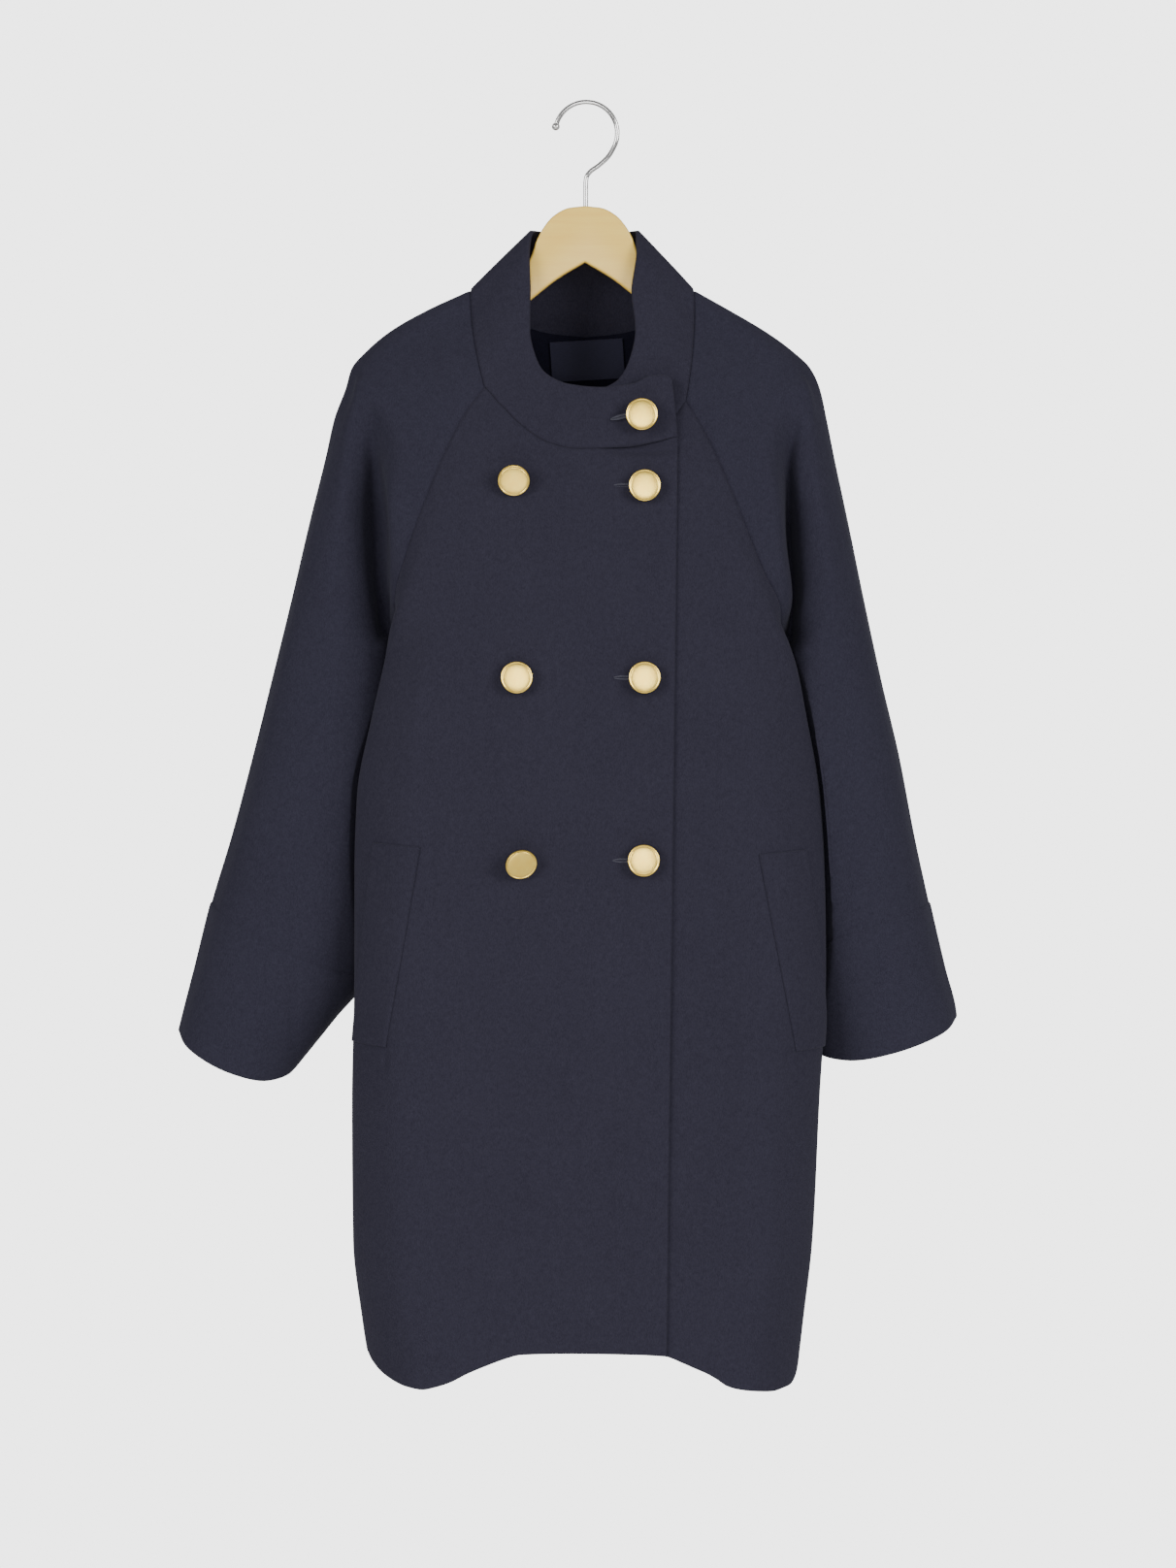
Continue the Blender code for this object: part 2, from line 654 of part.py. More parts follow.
def back_controls(drop):
    """Control points across the back at each drop, from the right seam to the left one."""
    controls = []
    for side, names in (("right", ("seam", "corner")), ("left", ("corner", "seam"))):
        sign = SIDES[side]
        armpit = ARMPIT[side]
        below = drop >= armpit
        low = np.maximum(drop, armpit)
        high = np.minimum(drop, armpit)
        seam_x = np.where(below, BODY_SIDE[side].at("seam_x", low), back_raglan(side, high)[0])
        seam_y = np.where(below, BODY_SIDE[side].at("seam_y", low), back_raglan(side, high)[1])
        place = {
            "seam": np.stack([sign * seam_x, seam_y, drop], axis=1),
            "corner": np.stack([sign * BACK.at("corner_x", drop), BACK.at("corner_y", drop), drop], axis=1),
        }
        if side == "right":
            controls += [place[name] for name in names]
            for share in (-0.45, 0.0, 0.45):
                x = share * BACK.at("corner_x", drop)
                y = BACK.at("depth", drop) - 3.0 * abs(share)
                controls.append(np.stack([x, y, drop], axis=1))
        else:
            controls += [place[name] for name in names]
    return np.array(controls)


def back_raglan(side, drop):
    """X and Y of the back raglan seam, which ends at the armpit of its side."""
    armpit = ARMPIT[side]
    end_x = BODY_SIDE[side].at("seam_x", armpit)
    end_y = BODY_SIDE[side].at("seam_y", armpit)
    rows = BACK.rows
    above = rows[rows[:, 0] < 470]
    drops = np.append(above[:, 0], armpit)
    xs = np.append(above[:, BACK.place["raglan_x"]], end_x)
    ys = np.append(above[:, BACK.place["raglan_y"]], end_y)
    return smooth(drops, xs, drop), smooth(drops, ys, drop)


BACK_COLUMNS = (2, 3, 4, 4, 3, 2)


def back_point(at, drop):
    """Points on the back at places `at` across it, with its soft upright flutes."""
    point = curve_through(back_controls(drop), at)
    middle = np.clip((at - 1.0) / 4.0, 0.0, 1.0)
    window = np.sin(math.pi * middle) ** 0.5 * (at > 1.0) * (at < 5.0)
    point[:, 1] += BACK.at("flute", drop) * np.cos(2.0 * math.pi * FLUTES * (middle - 0.46)) * window
    return point


def back_grid(columns=BACK_COLUMNS):
    """Outer points of the back from its neckline to its hem."""
    at = divisions(columns)
    top_x = back_point(at, np.full_like(at, BACK_NECK_LEVEL))[:, 0]
    top = BACK_NECK.at("drop", np.abs(top_x))
    share_left = at / at[-1]
    armpit = ARMPIT["right"] * (1 - share_left) + ARMPIT["left"] * share_left
    low_x = back_point(at, np.full_like(at, HEM_LEVEL))[:, 0]
    hem = BACK_HEM.at("drop", np.abs(low_x))
    right = raglan_shares("right", UPPER_ROWS, "back_drop")
    left = raglan_shares("left", UPPER_ROWS, "back_drop")
    upper = []
    for k in range(UPPER_ROWS + 1):
        share = right[k] * (1 - share_left) + left[k] * share_left
        upper.append(top + (armpit - top) * share)
    lower = [armpit + (hem - armpit) * k / LOWER_ROWS for k in range(1, LOWER_ROWS + 1)]
    return np.array([back_point(at, drop) for drop in upper + lower])


# ---------------------------------------------------------------- the sleeves and cuffs

SLEEVE_COLUMNS = (1, 1, 1, 2, 2, 1)
SLEEVE_LOWER_ROWS = 6
CUFF_ROWS = 3


def inner_seam(side, half, out_drop):
    """Where a sleeve row starts: on the raglan seam, or on the underarm seam below the armpit."""
    rows = SLEEVE_ROWS[side]
    drop = rows.at(half + "_drop", out_drop)
    armpit = ARMPIT[side]
    high = np.minimum(drop, armpit)
    if half == "front":
        x = BODY_SIDE[side].at("seam_x", high)
        y = BODY_SIDE[side].at("seam_y", high)
    else:
        x, y = back_raglan(side, high)
    low = rows.rows[rows.rows[:, 1] >= armpit]
    low_x = smooth(low[:, 0], low[:, 3], out_drop)
    low_y = smooth(low[:, 0], low[:, 4], out_drop)
    under = drop >= armpit
    return np.where(under, low_x, x), np.where(under, low_y, y), drop


def sleeve_controls(side, half, out_drop):
    """Control points across half a sleeve at each row, from the inner seam to the overarm line."""
    sign = SIDES[side]
    table = SLEEVE_FRONT[side] if half == "front" else SLEEVE_BACK
    in_x, in_y, in_drop = inner_seam(side, half, out_drop)
    out_x = OVERARM.at(side, out_drop)
    out_y = OVERARM.at("y", out_drop)
    bow = SLEEVE_ROWS[side].at("bow", out_drop)
    if half == "back":
        bow = bow - CUFF_BACK_BOW * np.clip((out_drop - CUFF_OUT[side][0]) / CUFF_BACK_SPAN, 0.0, 1.0)
    neck_bow = NECK_BOW.at("bow", out_drop) if half == "front" else 0.0

    def place(share, y):
        x = in_x + (out_x - in_x) * share + 4.0 * neck_bow * share * (1.0 - share)
        drop = in_drop + (out_drop - in_drop) * share + bow * (1.0 - (2.0 * share - 1.0) ** 4)
        return np.stack([sign * x, y, drop], axis=1)

    controls = [place(0.0 * out_drop, in_y)]
    for name in ("lip", "fold", "rise", "crest"):
        controls.append(place(table.at(name + "_f", out_drop), table.at(name + "_y", out_drop)))
    crest_y = table.at("crest_y", out_drop)
    controls.append(place(0.0 * out_drop + TURN_F, out_y + (crest_y - out_y) * TURN_SHARE))
    controls.append(place(0.0 * out_drop + 1.0, out_y))
    return np.array(controls)


def body_half_width(side, y, drop):
    """Half-width of the body below the armpit, at depth y on its side wall."""
    fine = np.linspace(3.0, 5.0, 41)
    width = np.empty_like(y)
    for k in range(len(y)):
        line = front_point(side, fine, np.full_like(fine, drop[k]))
        width[k] = np.interp(y[k], line[:, 1], np.abs(line[:, 0]))
    return width


def keep_clear(side, points):
    """Sleeve points moved outwards, where they must, to clear the side of the body."""
    points = points.copy()
    table = BODY_SIDE[side]
    drop = points[:, 2]
    y = points[:, 1]
    beside = (drop > ARMPIT[side] - CLEAR_ABOVE_ARMPIT) & (y > table.at("corner_y", drop))
    beside &= (y < table.at("seam_y", drop)) | (drop > ARMPIT[side] + 1.0)
    if not beside.any():
        return points
    drop = drop[beside]
    reach = np.abs(points[beside, 0])
    from_seam = np.hypot(reach - table.at("seam_x", drop), y[beside] - table.at("seam_y", drop))
    gap = np.clip(GAP_FROM_SEAM * from_seam, 0.0, GAP_FROM_SEAM_MOST)
    gap += np.clip(GAP_DOWN * (drop - ARMPIT[side]), 0.0, GAP_DOWN_MOST)
    limit = body_half_width(side, y[beside], drop) + gap
    points[beside, 0] = SIDES[side] * np.maximum(reach, limit)
    return points


def sleeve_points(side, half, at, out_drops):
    """Outer points of half a sleeve, a row for each overarm drop."""
    rows = []
    for out_drop in out_drops:
        line = curve_through(sleeve_controls(side, half, np.full_like(at, out_drop)), at)
        rows.append(keep_clear(side, line))
    return np.array(rows)


def sleeve_rows(side):
    """Overarm drops of every sleeve row, from the neckline to the cuff seam."""
    upper = sleeve_out_drops(side, UPPER_ROWS)
    lower = np.linspace(upper[-1], CUFF_OUT[side][0], SLEEVE_LOWER_ROWS + 1)[1:]
    return np.concatenate([upper, lower])


def arm_axis(grid):
    """Points inside the sleeve beside each point of its grid."""
    middle = (grid[:, :1] + grid[:, -1:]) / 2
    inside = np.repeat(middle, grid.shape[1], axis=1)
    inside[:, :, 1] = ARM_AXIS_Y
    return inside


def sleeve_grid(side, half):
    """Outer points of half a sleeve from the neckline to the cuff seam."""
    return sleeve_points(side, half, divisions(SLEEVE_COLUMNS), sleeve_rows(side))


def cuff_grid(side):
    """Outer points of a cuff as a tube: up its front half, then back round its rear half."""
    at = divisions(SLEEVE_COLUMNS)
    drops = np.linspace(*CUFF_OUT[side], CUFF_ROWS + 1)
    front = sleeve_points(side, "front", at, drops)
    back = sleeve_points(side, "back", at, drops)
    return np.concatenate([front, back[:, -2:0:-1]], axis=1)


# ---------------------------------------------------------------- the collar

def collar_bottom(grids):
    """The neck seam as one chain of points with a mark for each, from the left end to the tab."""
    left = grids["front_left"][0]
    start = int(np.argmax(left[:, 0] > -45.0))
    chains = [
        (left[start:], 0.0, 1.0),
        (grids["sleeve_front_left"][0], 1.0, 2.0),
        (grids["sleeve_back_left"][0][::-1], 2.0, 3.0),
        (grids["back"][0][::-1], 3.0, 4.0),
        (grids["sleeve_back_right"][0], 4.0, 5.0),
        (grids["sleeve_front_right"][0][::-1], 5.0, 6.0),
        (grids["front_right"][0][::-1], 6.0, 7.0),
    ]
    points = []
    marks = []
    for chain, first, last in chains:
        steps = np.linalg.norm(np.diff(chain, axis=0), axis=1)
        share = np.concatenate([[0.0], np.cumsum(steps)]) / steps.sum()
        skip = 1 if points else 0
        points.extend(chain[skip:])
        marks.extend(first + (last - first) * share[skip:])
    return np.array(points), np.array(marks)


def collar_grid(grids):
    """Outer points of the collar from its top edge down to the neck seam."""
    bottom, marks = collar_bottom(grids)
    top = np.stack([COLLAR_TOP.at(name, marks) for name in ("x", "y", "drop")], axis=1)
    rows = []
    for row in range(COLLAR_ROWS + 1):
        share = row / COLLAR_ROWS
        points = top + (bottom - top) * share
        away = points.copy()
        away[:, 2] = 0.0
        away /= np.linalg.norm(away, axis=1, keepdims=True)
        rows.append(points + away * COLLAR_BULGE * math.sin(math.pi * share))
    grid = np.array(rows)
    under = np.clip((1.0 - marks) / UNDER_TAB_MARKS, 0.0, 1.0)
    grid[:, :, 1] += (UNDER_TAB_SET_BACK * under * under * (3.0 - 2.0 * under))[None, :]
    return grid


# ---------------------------------------------------------------- small pieces

def welt_grid(side, lengthwise=8, across=6):
    """Outer points of a pocket welt, laid along the front and round its side."""
    rows = []
    for row in range(lengthwise + 1):
        share = row / lengthwise
        inner_x = WELT_INNER[side][0] + (WELT_INNER[side][1] - WELT_INNER[side][0]) * share
        fine = np.linspace(2.0, 5.0, 241)
        level = WELT_TOP[side] + (WELT_BOTTOM[side] - WELT_TOP[side]) * share
        line = front_point(side, fine, np.full_like(fine, level))
        length = np.concatenate([[0.0], np.cumsum(np.linalg.norm(np.diff(line, axis=0), axis=1))])
        start = np.interp(inner_x, np.abs(line[:160, 0]), length[:160])
        at = np.interp(start + WELT_WIDTH * np.linspace(0.0, 1.0, across + 1), length, fine)
        fall = WELT_INNER_FALL * (1.0 - np.linspace(0.0, 1.0, across + 1))
        rows.append(front_point(side, at, level + fall))
    return np.array(rows)


def facing_grid():
    """Outer points of the back neck facing, on the inner face of the back's cloth."""
    at = np.linspace(0.45, 5.55, 11)
    x = back_point(at, np.full_like(at, FACING_LEVEL))[:, 0]
    top = BACK_NECK.at("drop", np.abs(x)) + FACING_DROP
    depth = FACING_DEPTH - FACING_DEPTH_LOSS * (np.abs(x) / FACING_REACH) ** 2
    rows = [back_point(at, top + depth * share) for share in (0.0, 0.33, 0.67, 1.0)]
    return np.array(rows)


def back_places(x, drop):
    """Places across the back at which it has each X, at each drop."""
    fine = np.linspace(1.0, 5.0, 161)
    lines = [back_point(fine, np.full_like(fine, level))[:, 0] for level in drop]
    return np.array([np.interp(px, line, fine) for px, line in zip(x, lines)])


def label_grid():
    """Outer points of the label, on the facing at the centre of the neck."""
    across = np.linspace(-1.0, 1.0, 7)
    rows = []
    for down in (0.0, 0.5, 1.0):
        x = LABEL_X + LABEL_HALF_WIDTH * across + LABEL_LEAN * down
        drop = LABEL_DROP - LABEL_RISE * across + LABEL_LENGTH * down
        rows.append(back_point(back_places(x, drop), drop))
    return np.array(rows)


def turned(name, profile, segments, finish):
    """A solid turned about Z from a profile of radius and height that starts and ends on the axis."""
    body = bmesh.new()
    rings = []
    for radius, height in profile:
        if radius == 0.0:
            rings.append([body.verts.new((0.0, 0.0, height * MM))])
            continue
        ring = []
        for k in range(segments):
            angle = 2.0 * math.pi * k / segments
            ring.append(body.verts.new((radius * MM * math.cos(angle), radius * MM * math.sin(angle),
                                        height * MM)))
        rings.append(ring)
    for above, below in zip(rings, rings[1:]):
        for k in range(segments):
            after = (k + 1) % segments
            if len(above) == 1:
                body.faces.new((above[0], below[k], below[after]))
            elif len(below) == 1:
                body.faces.new((above[k], below[0], above[after]))
            else:
                body.faces.new((above[k], below[k], below[after], above[after]))
    bmesh.ops.recalc_face_normals(body, faces=body.faces)
    mesh = bpy.data.meshes.new(name)
    body.to_mesh(mesh)
    body.free()
    mesh.materials.append(finish)
    mesh.shade_smooth()
    mesh.set_sharp_from_angle(angle=math.radians(40.0))
    thing = bpy.data.objects.new(name, mesh)
    bpy.context.collection.objects.link(thing)
    return thing


def add_buttons(finish):
    """The seven shank buttons, each standing just off the cloth it is sewn to."""
    profile = [
        (0.0, BUTTON_DEPTH), (6.0, BUTTON_DEPTH - 0.4), (11.0, BUTTON_DEPTH - 1.5),
        (BUTTON_RADIUS, BUTTON_DEPTH - 3.4), (BUTTON_RADIUS - 0.4, BUTTON_DEPTH - 4.4), (SHANK_RADIUS, 0.4),
        (SHANK_RADIUS, -SHANK_LENGTH), (0.0, -SHANK_LENGTH),
    ]
    for name, x, drop, nod, turn in BUTTONS:
        button = turned(name, profile, 18, finish)
        surface = front_surface(x, drop, 0.0)
        if name == "button_collar":
            surface = COLLAR_BUTTON_Y
        lean = BUTTON_RADIUS * math.sin(math.radians(nod)) * 0.62
        away = SHANK_LENGTH + 0.7 + lean
        button.location = (x * MM, (surface - away) * MM, -drop * MM)
        button.rotation_euler = (math.radians(90.0 + nod), 0.0, math.radians(turn))


# ---------------------------------------------------------------- the hanger

def add_wood(finish):
    """The flat bent wood of the hanger, its two arms mirrored about the hook."""
    right = WOOD_TOP + WOOD_END
    outline = right + WOOD_BOTTOM
    outline += [(-x, drop) for x, drop in WOOD_BOTTOM[-2::-1]]
    outline += [(-x, drop) for x, drop in right[:0:-1]]
    body = bmesh.new()
    front = [body.verts.new((x * MM, -WOOD_HALF_DEPTH * MM, -drop * MM)) for x, drop in outline]
    face = body.faces.new(front)
    made = bmesh.ops.extrude_face_region(body, geom=[face])
    moved = [item for item in made["geom"] if isinstance(item, bmesh.types.BMVert)]
    bmesh.ops.translate(body, verts=moved, vec=(0.0, 2.0 * WOOD_HALF_DEPTH * MM, 0.0))
    bmesh.ops.recalc_face_normals(body, faces=body.faces)
    mesh = bpy.data.meshes.new("hanger_wood")
    body.to_mesh(mesh)
    body.free()
    mesh.materials.append(finish)
    thing = bpy.data.objects.new("hanger_wood", mesh)
    bpy.context.collection.objects.link(thing)
    bevel = thing.modifiers.new("rounded edges", "BEVEL")
    bevel.width = 1.6 * MM
    bevel.segments = 2
    bevel.limit_method = "ANGLE"
    bevel.angle_limit = math.radians(50.0)


def hook_route():
    """Centre line of the hook's wire: from its tip over the loop and down the stem."""
    centre_drop = HOOK_RADIUS
    points = []
    for degrees in range(168, -31, -11):
        angle = math.radians(degrees)
        points.append((1.0 + HOOK_RADIUS * math.cos(angle), centre_drop - HOOK_RADIUS * math.sin(angle)))
    points += [(20.5, 48.0), (12.0, 56.0), (4.5, 61.5), (1.2, 66.5), (0.6, 72.0), (0.6, 82.0), (0.6, 91.4)]
    return points


def add_hook(finish):
    """The bent wire hook with its ball tip, as one turned tube along its route."""
    route = hook_route()
    sides = 10
    body = bmesh.new()
    rings = []
    for k, (x, drop) in enumerate(route):
        before = route[max(k - 1, 0)]
        after = route[min(k + 1, len(route) - 1)]
        way = np.array([after[0] - before[0], after[1] - before[1]])
        way /= np.linalg.norm(way)
        ring = []
        for side in range(sides):
            angle = 2.0 * math.pi * side / sides
            off = WIRE_RADIUS * math.cos(angle)
            depth = WIRE_RADIUS * math.sin(angle)
            ring.append(body.verts.new(((x - way[1] * off) * MM, depth * MM, -(drop + way[0] * off) * MM)))
        rings.append(ring)
    for above, below in zip(rings, rings[1:]):
        for side in range(sides):
            after = (side + 1) % sides
            body.faces.new((above[side], above[after], below[after], below[side]))
    body.faces.new(rings[0][::-1])
    body.faces.new(rings[-1])
    bmesh.ops.recalc_face_normals(body, faces=body.faces)
    mesh = bpy.data.meshes.new("hanger_hook")
    body.to_mesh(mesh)
    body.free()
    mesh.materials.append(finish)
    mesh.shade_smooth()
    hook = bpy.data.objects.new("hanger_hook", mesh)
    bpy.context.collection.objects.link(hook)
    ball_profile = [(BALL_RADIUS * math.sin(math.pi * k / 6), BALL_RADIUS * math.cos(math.pi * k / 6))
                    for k in range(7)]
    ball_profile[0] = (0.0, BALL_RADIUS)
    ball_profile[-1] = (0.0, -BALL_RADIUS)
    ball = turned("ball tip", ball_profile, 12, finish)
    tip = route[0]
    ball.location = (tip[0] * MM, 0.0, -tip[1] * MM)
    ball.hide_render = True
    ball.display_type = "WIRE"
    joined = hook.modifiers.new("ball tip", "BOOLEAN")
    joined.operation = "UNION"
    joined.object = ball


# ---------------------------------------------------------------- putting it together

def clear_scene():
    """Remove whatever the open file holds."""
    for thing in list(bpy.data.objects):
        bpy.data.objects.remove(thing, do_unlink=True)


def coat_grids():
    """Outer points of every large panel, by node name."""
    grids = {"front_right": front_grid("right"), "front_left": front_grid("left"), "back": back_grid()}
    for side in SIDES:
        for half in ("front", "back"):
            grids[f"sleeve_{half}_{side}"] = sleeve_grid(side, half)
    return grids


def towards_middle(grid):
    """Points on the coat's middle line, level with each point of a grid."""
    inside = np.zeros_like(grid)
    inside[:, :, 2] = grid[:, :, 2]
    return inside


def coat_panels():
    """Every panel that is sewn to another, with points on its inner side and whether it is a tube."""
    grids = coat_grids()
    panels = {name: (grid, towards_middle(grid), False) for name, grid in grids.items()}
    for side in SIDES:
        for half in ("front", "back"):
            grid = grids[f"sleeve_{half}_{side}"]
            panels[f"sleeve_{half}_{side}"] = (grid, arm_axis(grid), False)
        grid = cuff_grid(side)
        centre = np.repeat(grid.mean(axis=1, keepdims=True), grid.shape[1], axis=1)
        panels[f"cuff_{side}"] = (grid, centre, True)
    grid = collar_grid(grids)
    panels["stand_collar"] = (grid, towards_middle(grid), False)
    return panels


def add_panels(finishes):
    """The fronts, back, sleeves, cuffs and collar."""
    panels = coat_panels()
    normals = shared_normals(panels)
    for name, (grid, _, wraps) in panels.items():
        kind = name.split("_")[0]
        thickness, lift, gap = {
            "cuff": (CUFF_CLOTH, CUFF_PROUD, SEAM),
            "stand": (COLLAR_CLOTH, COLLAR_CLOTH - CLOTH, COLLAR_SEAM),
        }.get(kind, (CLOTH, 0.0, SEAM))
        wall(name, grid, normals[name], thickness, finishes[kind], wraps, lift, gap)


def add_laid_piece(name, grid, thickness, finish, lift):
    """A piece that lies on a panel, made from the panel's own points moved out or in."""
    wall(name, grid, mitred(patch_normals(grid, towards_middle(grid))), thickness, finish, lift=lift)


def add_laid_pieces(finishes):
    """The pocket welts on the fronts, and the facing and label inside the back neck."""
    for side in SIDES:
        add_laid_piece(f"pocket_welt_{side}", welt_grid(side), WELT_CLOTH, finishes["pocket"],
                       WELT_CLOTH + WELT_GAP)
    add_laid_piece("back_neck_facing", facing_grid(), FACING_CLOTH, finishes["facing"],
                   -CLOTH - FACING_GAP)
    add_laid_piece("neck_label", label_grid(), LABEL_CLOTH, finishes["label"],
                   -CLOTH - FACING_CLOTH - 2 * FACING_GAP)


def main():
    clear_scene()
    cloth = {kind: material(f"navy wool {kind}", NAVY, 0.95)
             for kind in ("front", "back", "sleeve", "cuff", "stand", "pocket")}
    cloth["facing"] = material("navy facing", NAVY_DARK, 0.9)
    cloth["label"] = material("label satin", LABEL_NAVY, 0.6)
    add_panels(cloth)
    add_laid_pieces(cloth)
    add_buttons(material("satin gold", GOLD, 0.35, 1.0))
    add_wood(material("light wood", MAPLE, 0.5))
    add_hook(material("bright steel", STEEL, 0.2, 1.0))


main()
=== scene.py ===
"""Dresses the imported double-breasted coat and its hanger: cloth shells, sewing, finishes and studio.

Lengths are in millimetres until a mesh is made. `drop` is the distance below the inside top of the
hanger's hook, which is the origin. X runs to the viewer's right, Y away from the viewer. Right and
left in names are the wearer's.
"""
import logging
import math
from dataclasses import dataclass, field
from enum import Enum

import bmesh
import bpy
import numpy as np
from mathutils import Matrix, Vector
from mathutils.kdtree import KDTree


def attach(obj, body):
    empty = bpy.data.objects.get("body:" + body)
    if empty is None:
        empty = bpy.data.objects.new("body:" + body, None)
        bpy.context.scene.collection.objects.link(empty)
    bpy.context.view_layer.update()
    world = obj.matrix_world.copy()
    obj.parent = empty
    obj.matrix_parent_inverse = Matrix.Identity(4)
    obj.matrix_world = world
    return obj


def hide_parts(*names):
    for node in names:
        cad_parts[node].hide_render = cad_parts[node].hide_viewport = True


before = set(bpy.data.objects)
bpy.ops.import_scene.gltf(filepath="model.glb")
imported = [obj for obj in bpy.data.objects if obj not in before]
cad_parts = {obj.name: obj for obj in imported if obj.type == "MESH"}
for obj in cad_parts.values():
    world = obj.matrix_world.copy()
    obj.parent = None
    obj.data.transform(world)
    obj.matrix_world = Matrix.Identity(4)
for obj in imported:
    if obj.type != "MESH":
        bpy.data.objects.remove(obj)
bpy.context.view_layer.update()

MM = 0.001
log = logging.getLogger("coat")
Rgb = tuple[float, float, float]
Path = tuple[tuple[float, float], ...]


class Side(Enum):
    """The wearer's sides, with the sign of X on each."""

    RIGHT = -1.0
    LEFT = 1.0

    @property
    def word(self) -> str:
        """The side's name as the nodes write it."""
        return self.name.lower()


class Half(Enum):
    """The two halves of a sleeve."""

    FRONT = "front"
    BACK = "back"


class Edge(Enum):
    """How a panel ends: sewn into a seam, folded to a soft round edge, or left as it is."""

    SEAM = "seam"
    FOLD = "fold"
    PLAIN = "plain"


class Table:
    """Rows of sizes with named columns, read on a smooth curve by the first column."""

    def __init__(self, columns: str, rows: list[tuple[float, ...]]) -> None:
        """Keep the rows and the slopes of each column.

        Args:
            columns: Names of the columns, the first of them the key.
            rows: One tuple of sizes for each row, with growing keys.
        """
        self.names = columns.split()
        self.rows = np.array(rows, dtype=float)
        self.slopes = {name: self._slopes(self.column(name)) for name in self.names[1:]}

    def column(self, name: str) -> np.ndarray:
        """All sizes of one column."""
        return self.rows[:, self.names.index(name)]

    def _slopes(self, values: np.ndarray) -> np.ndarray:
        """Slopes at the rows that keep the curve from overshooting.

        Args:
            values: Sizes of one column.

        Returns:
            The slope at each row.
        """
        step = np.diff(self.rows[:, 0])
        chord = np.diff(values) / step
        slopes = np.zeros_like(values)
        slopes[0], slopes[-1] = chord[0], chord[-1]
        for k in range(1, len(values) - 1):
            if chord[k - 1] * chord[k] > 0.0:
                before = 2.0 * step[k] + step[k - 1]
                after = step[k] + 2.0 * step[k - 1]
                slopes[k] = (before + after) / (before / chord[k - 1] + after / chord[k])
        return slopes

    def at(self, name: str, key: np.ndarray | float) -> np.ndarray:
        """Read a column.

        Args:
            name: The column.
            key: Values of the first column, held inside the table's range.

        Returns:
            The sizes there.
        """
        xs = self.rows[:, 0]
        ys, slopes = self.column(name), self.slopes[name]
        key = np.clip(np.asarray(key, dtype=float), xs[0], xs[-1])
        i = np.clip(np.searchsorted(xs, key, side="right") - 1, 0, len(xs) - 2)
        step = xs[i + 1] - xs[i]
        t = (key - xs[i]) / step
        return (ys[i] * (1 + 2 * t) * (1 - t) ** 2 + step * slopes[i] * t * (1 - t) ** 2
                + ys[i + 1] * t * t * (3 - 2 * t) + step * slopes[i + 1] * t * t * (t - 1))


def smooth_line(points: np.ndarray, count: int) -> np.ndarray:
    """Evenly spaced points on a smooth line through points of x and drop.

    Args:
        points: The points that it passes.
        count: How many points it has.

    Returns:
        X and drop of each point.
    """
    place = length_along(points)
    table = Table("s x drop", [(s, *point) for s, point in zip(place, points)])
    s = np.linspace(0.0, place[-1], count)
    return np.stack([table.at("x", s), table.at("drop", s)], axis=1)


def curve_through(points: np.ndarray, at: np.ndarray) -> np.ndarray:
    """Points on smooth curves through control points.

    Args:
        points: Array of (controls, curves, 3).
        at: Place on each curve; whole numbers are the controls.

    Returns:
        One point for each curve.
    """
    step = np.linalg.norm(np.diff(points, axis=0), axis=2, keepdims=True) + 1e-9
    slope = np.diff(points, axis=0) / step
    tangent = np.empty_like(points)
    tangent[0], tangent[-1] = slope[0], slope[-1]
    tangent[1:-1] = (slope[:-1] * step[1:] + slope[1:] * step[:-1]) / (step[1:] + step[:-1])
    span = np.clip(np.floor(at).astype(int), 0, len(points) - 2)
    curve = np.arange(points.shape[1])
    t = (at - span)[:, None]
    length = step[span, curve]
    return (points[span, curve] * (1 + 2 * t) * (1 - t) ** 2
            + length * tangent[span, curve] * t * (1 - t) ** 2
            + points[span + 1, curve] * t * t * (3 - 2 * t)
            + length * tangent[span + 1, curve] * t * t * (t - 1))


def middle_line(grid: np.ndarray) -> np.ndarray:
    """Points on the coat's middle line, level with each point of a grid."""
    return grid * np.array([0.0, 0.0, 1.0])


def length_along(line: np.ndarray) -> np.ndarray:
    """Length along a line of points from its start to each point."""
    return np.concatenate([[0.0], np.cumsum(np.linalg.norm(np.diff(line, axis=0), axis=1))])


def divisions(counts: tuple[int, ...], fine: int) -> np.ndarray:
    """Places along a curve.

    Args:
        counts: Steps between neighbouring controls in the solid.
        fine: How many times more steps the shell has.

    Returns:
        The places, from 0 to the last control.
    """
    places = [k + step / (count * fine) for k, count in enumerate(counts) for step in range(count * fine)]
    return np.array(places + [float(len(counts))])


# ------------------------------------------------------------------ the shape of the coat

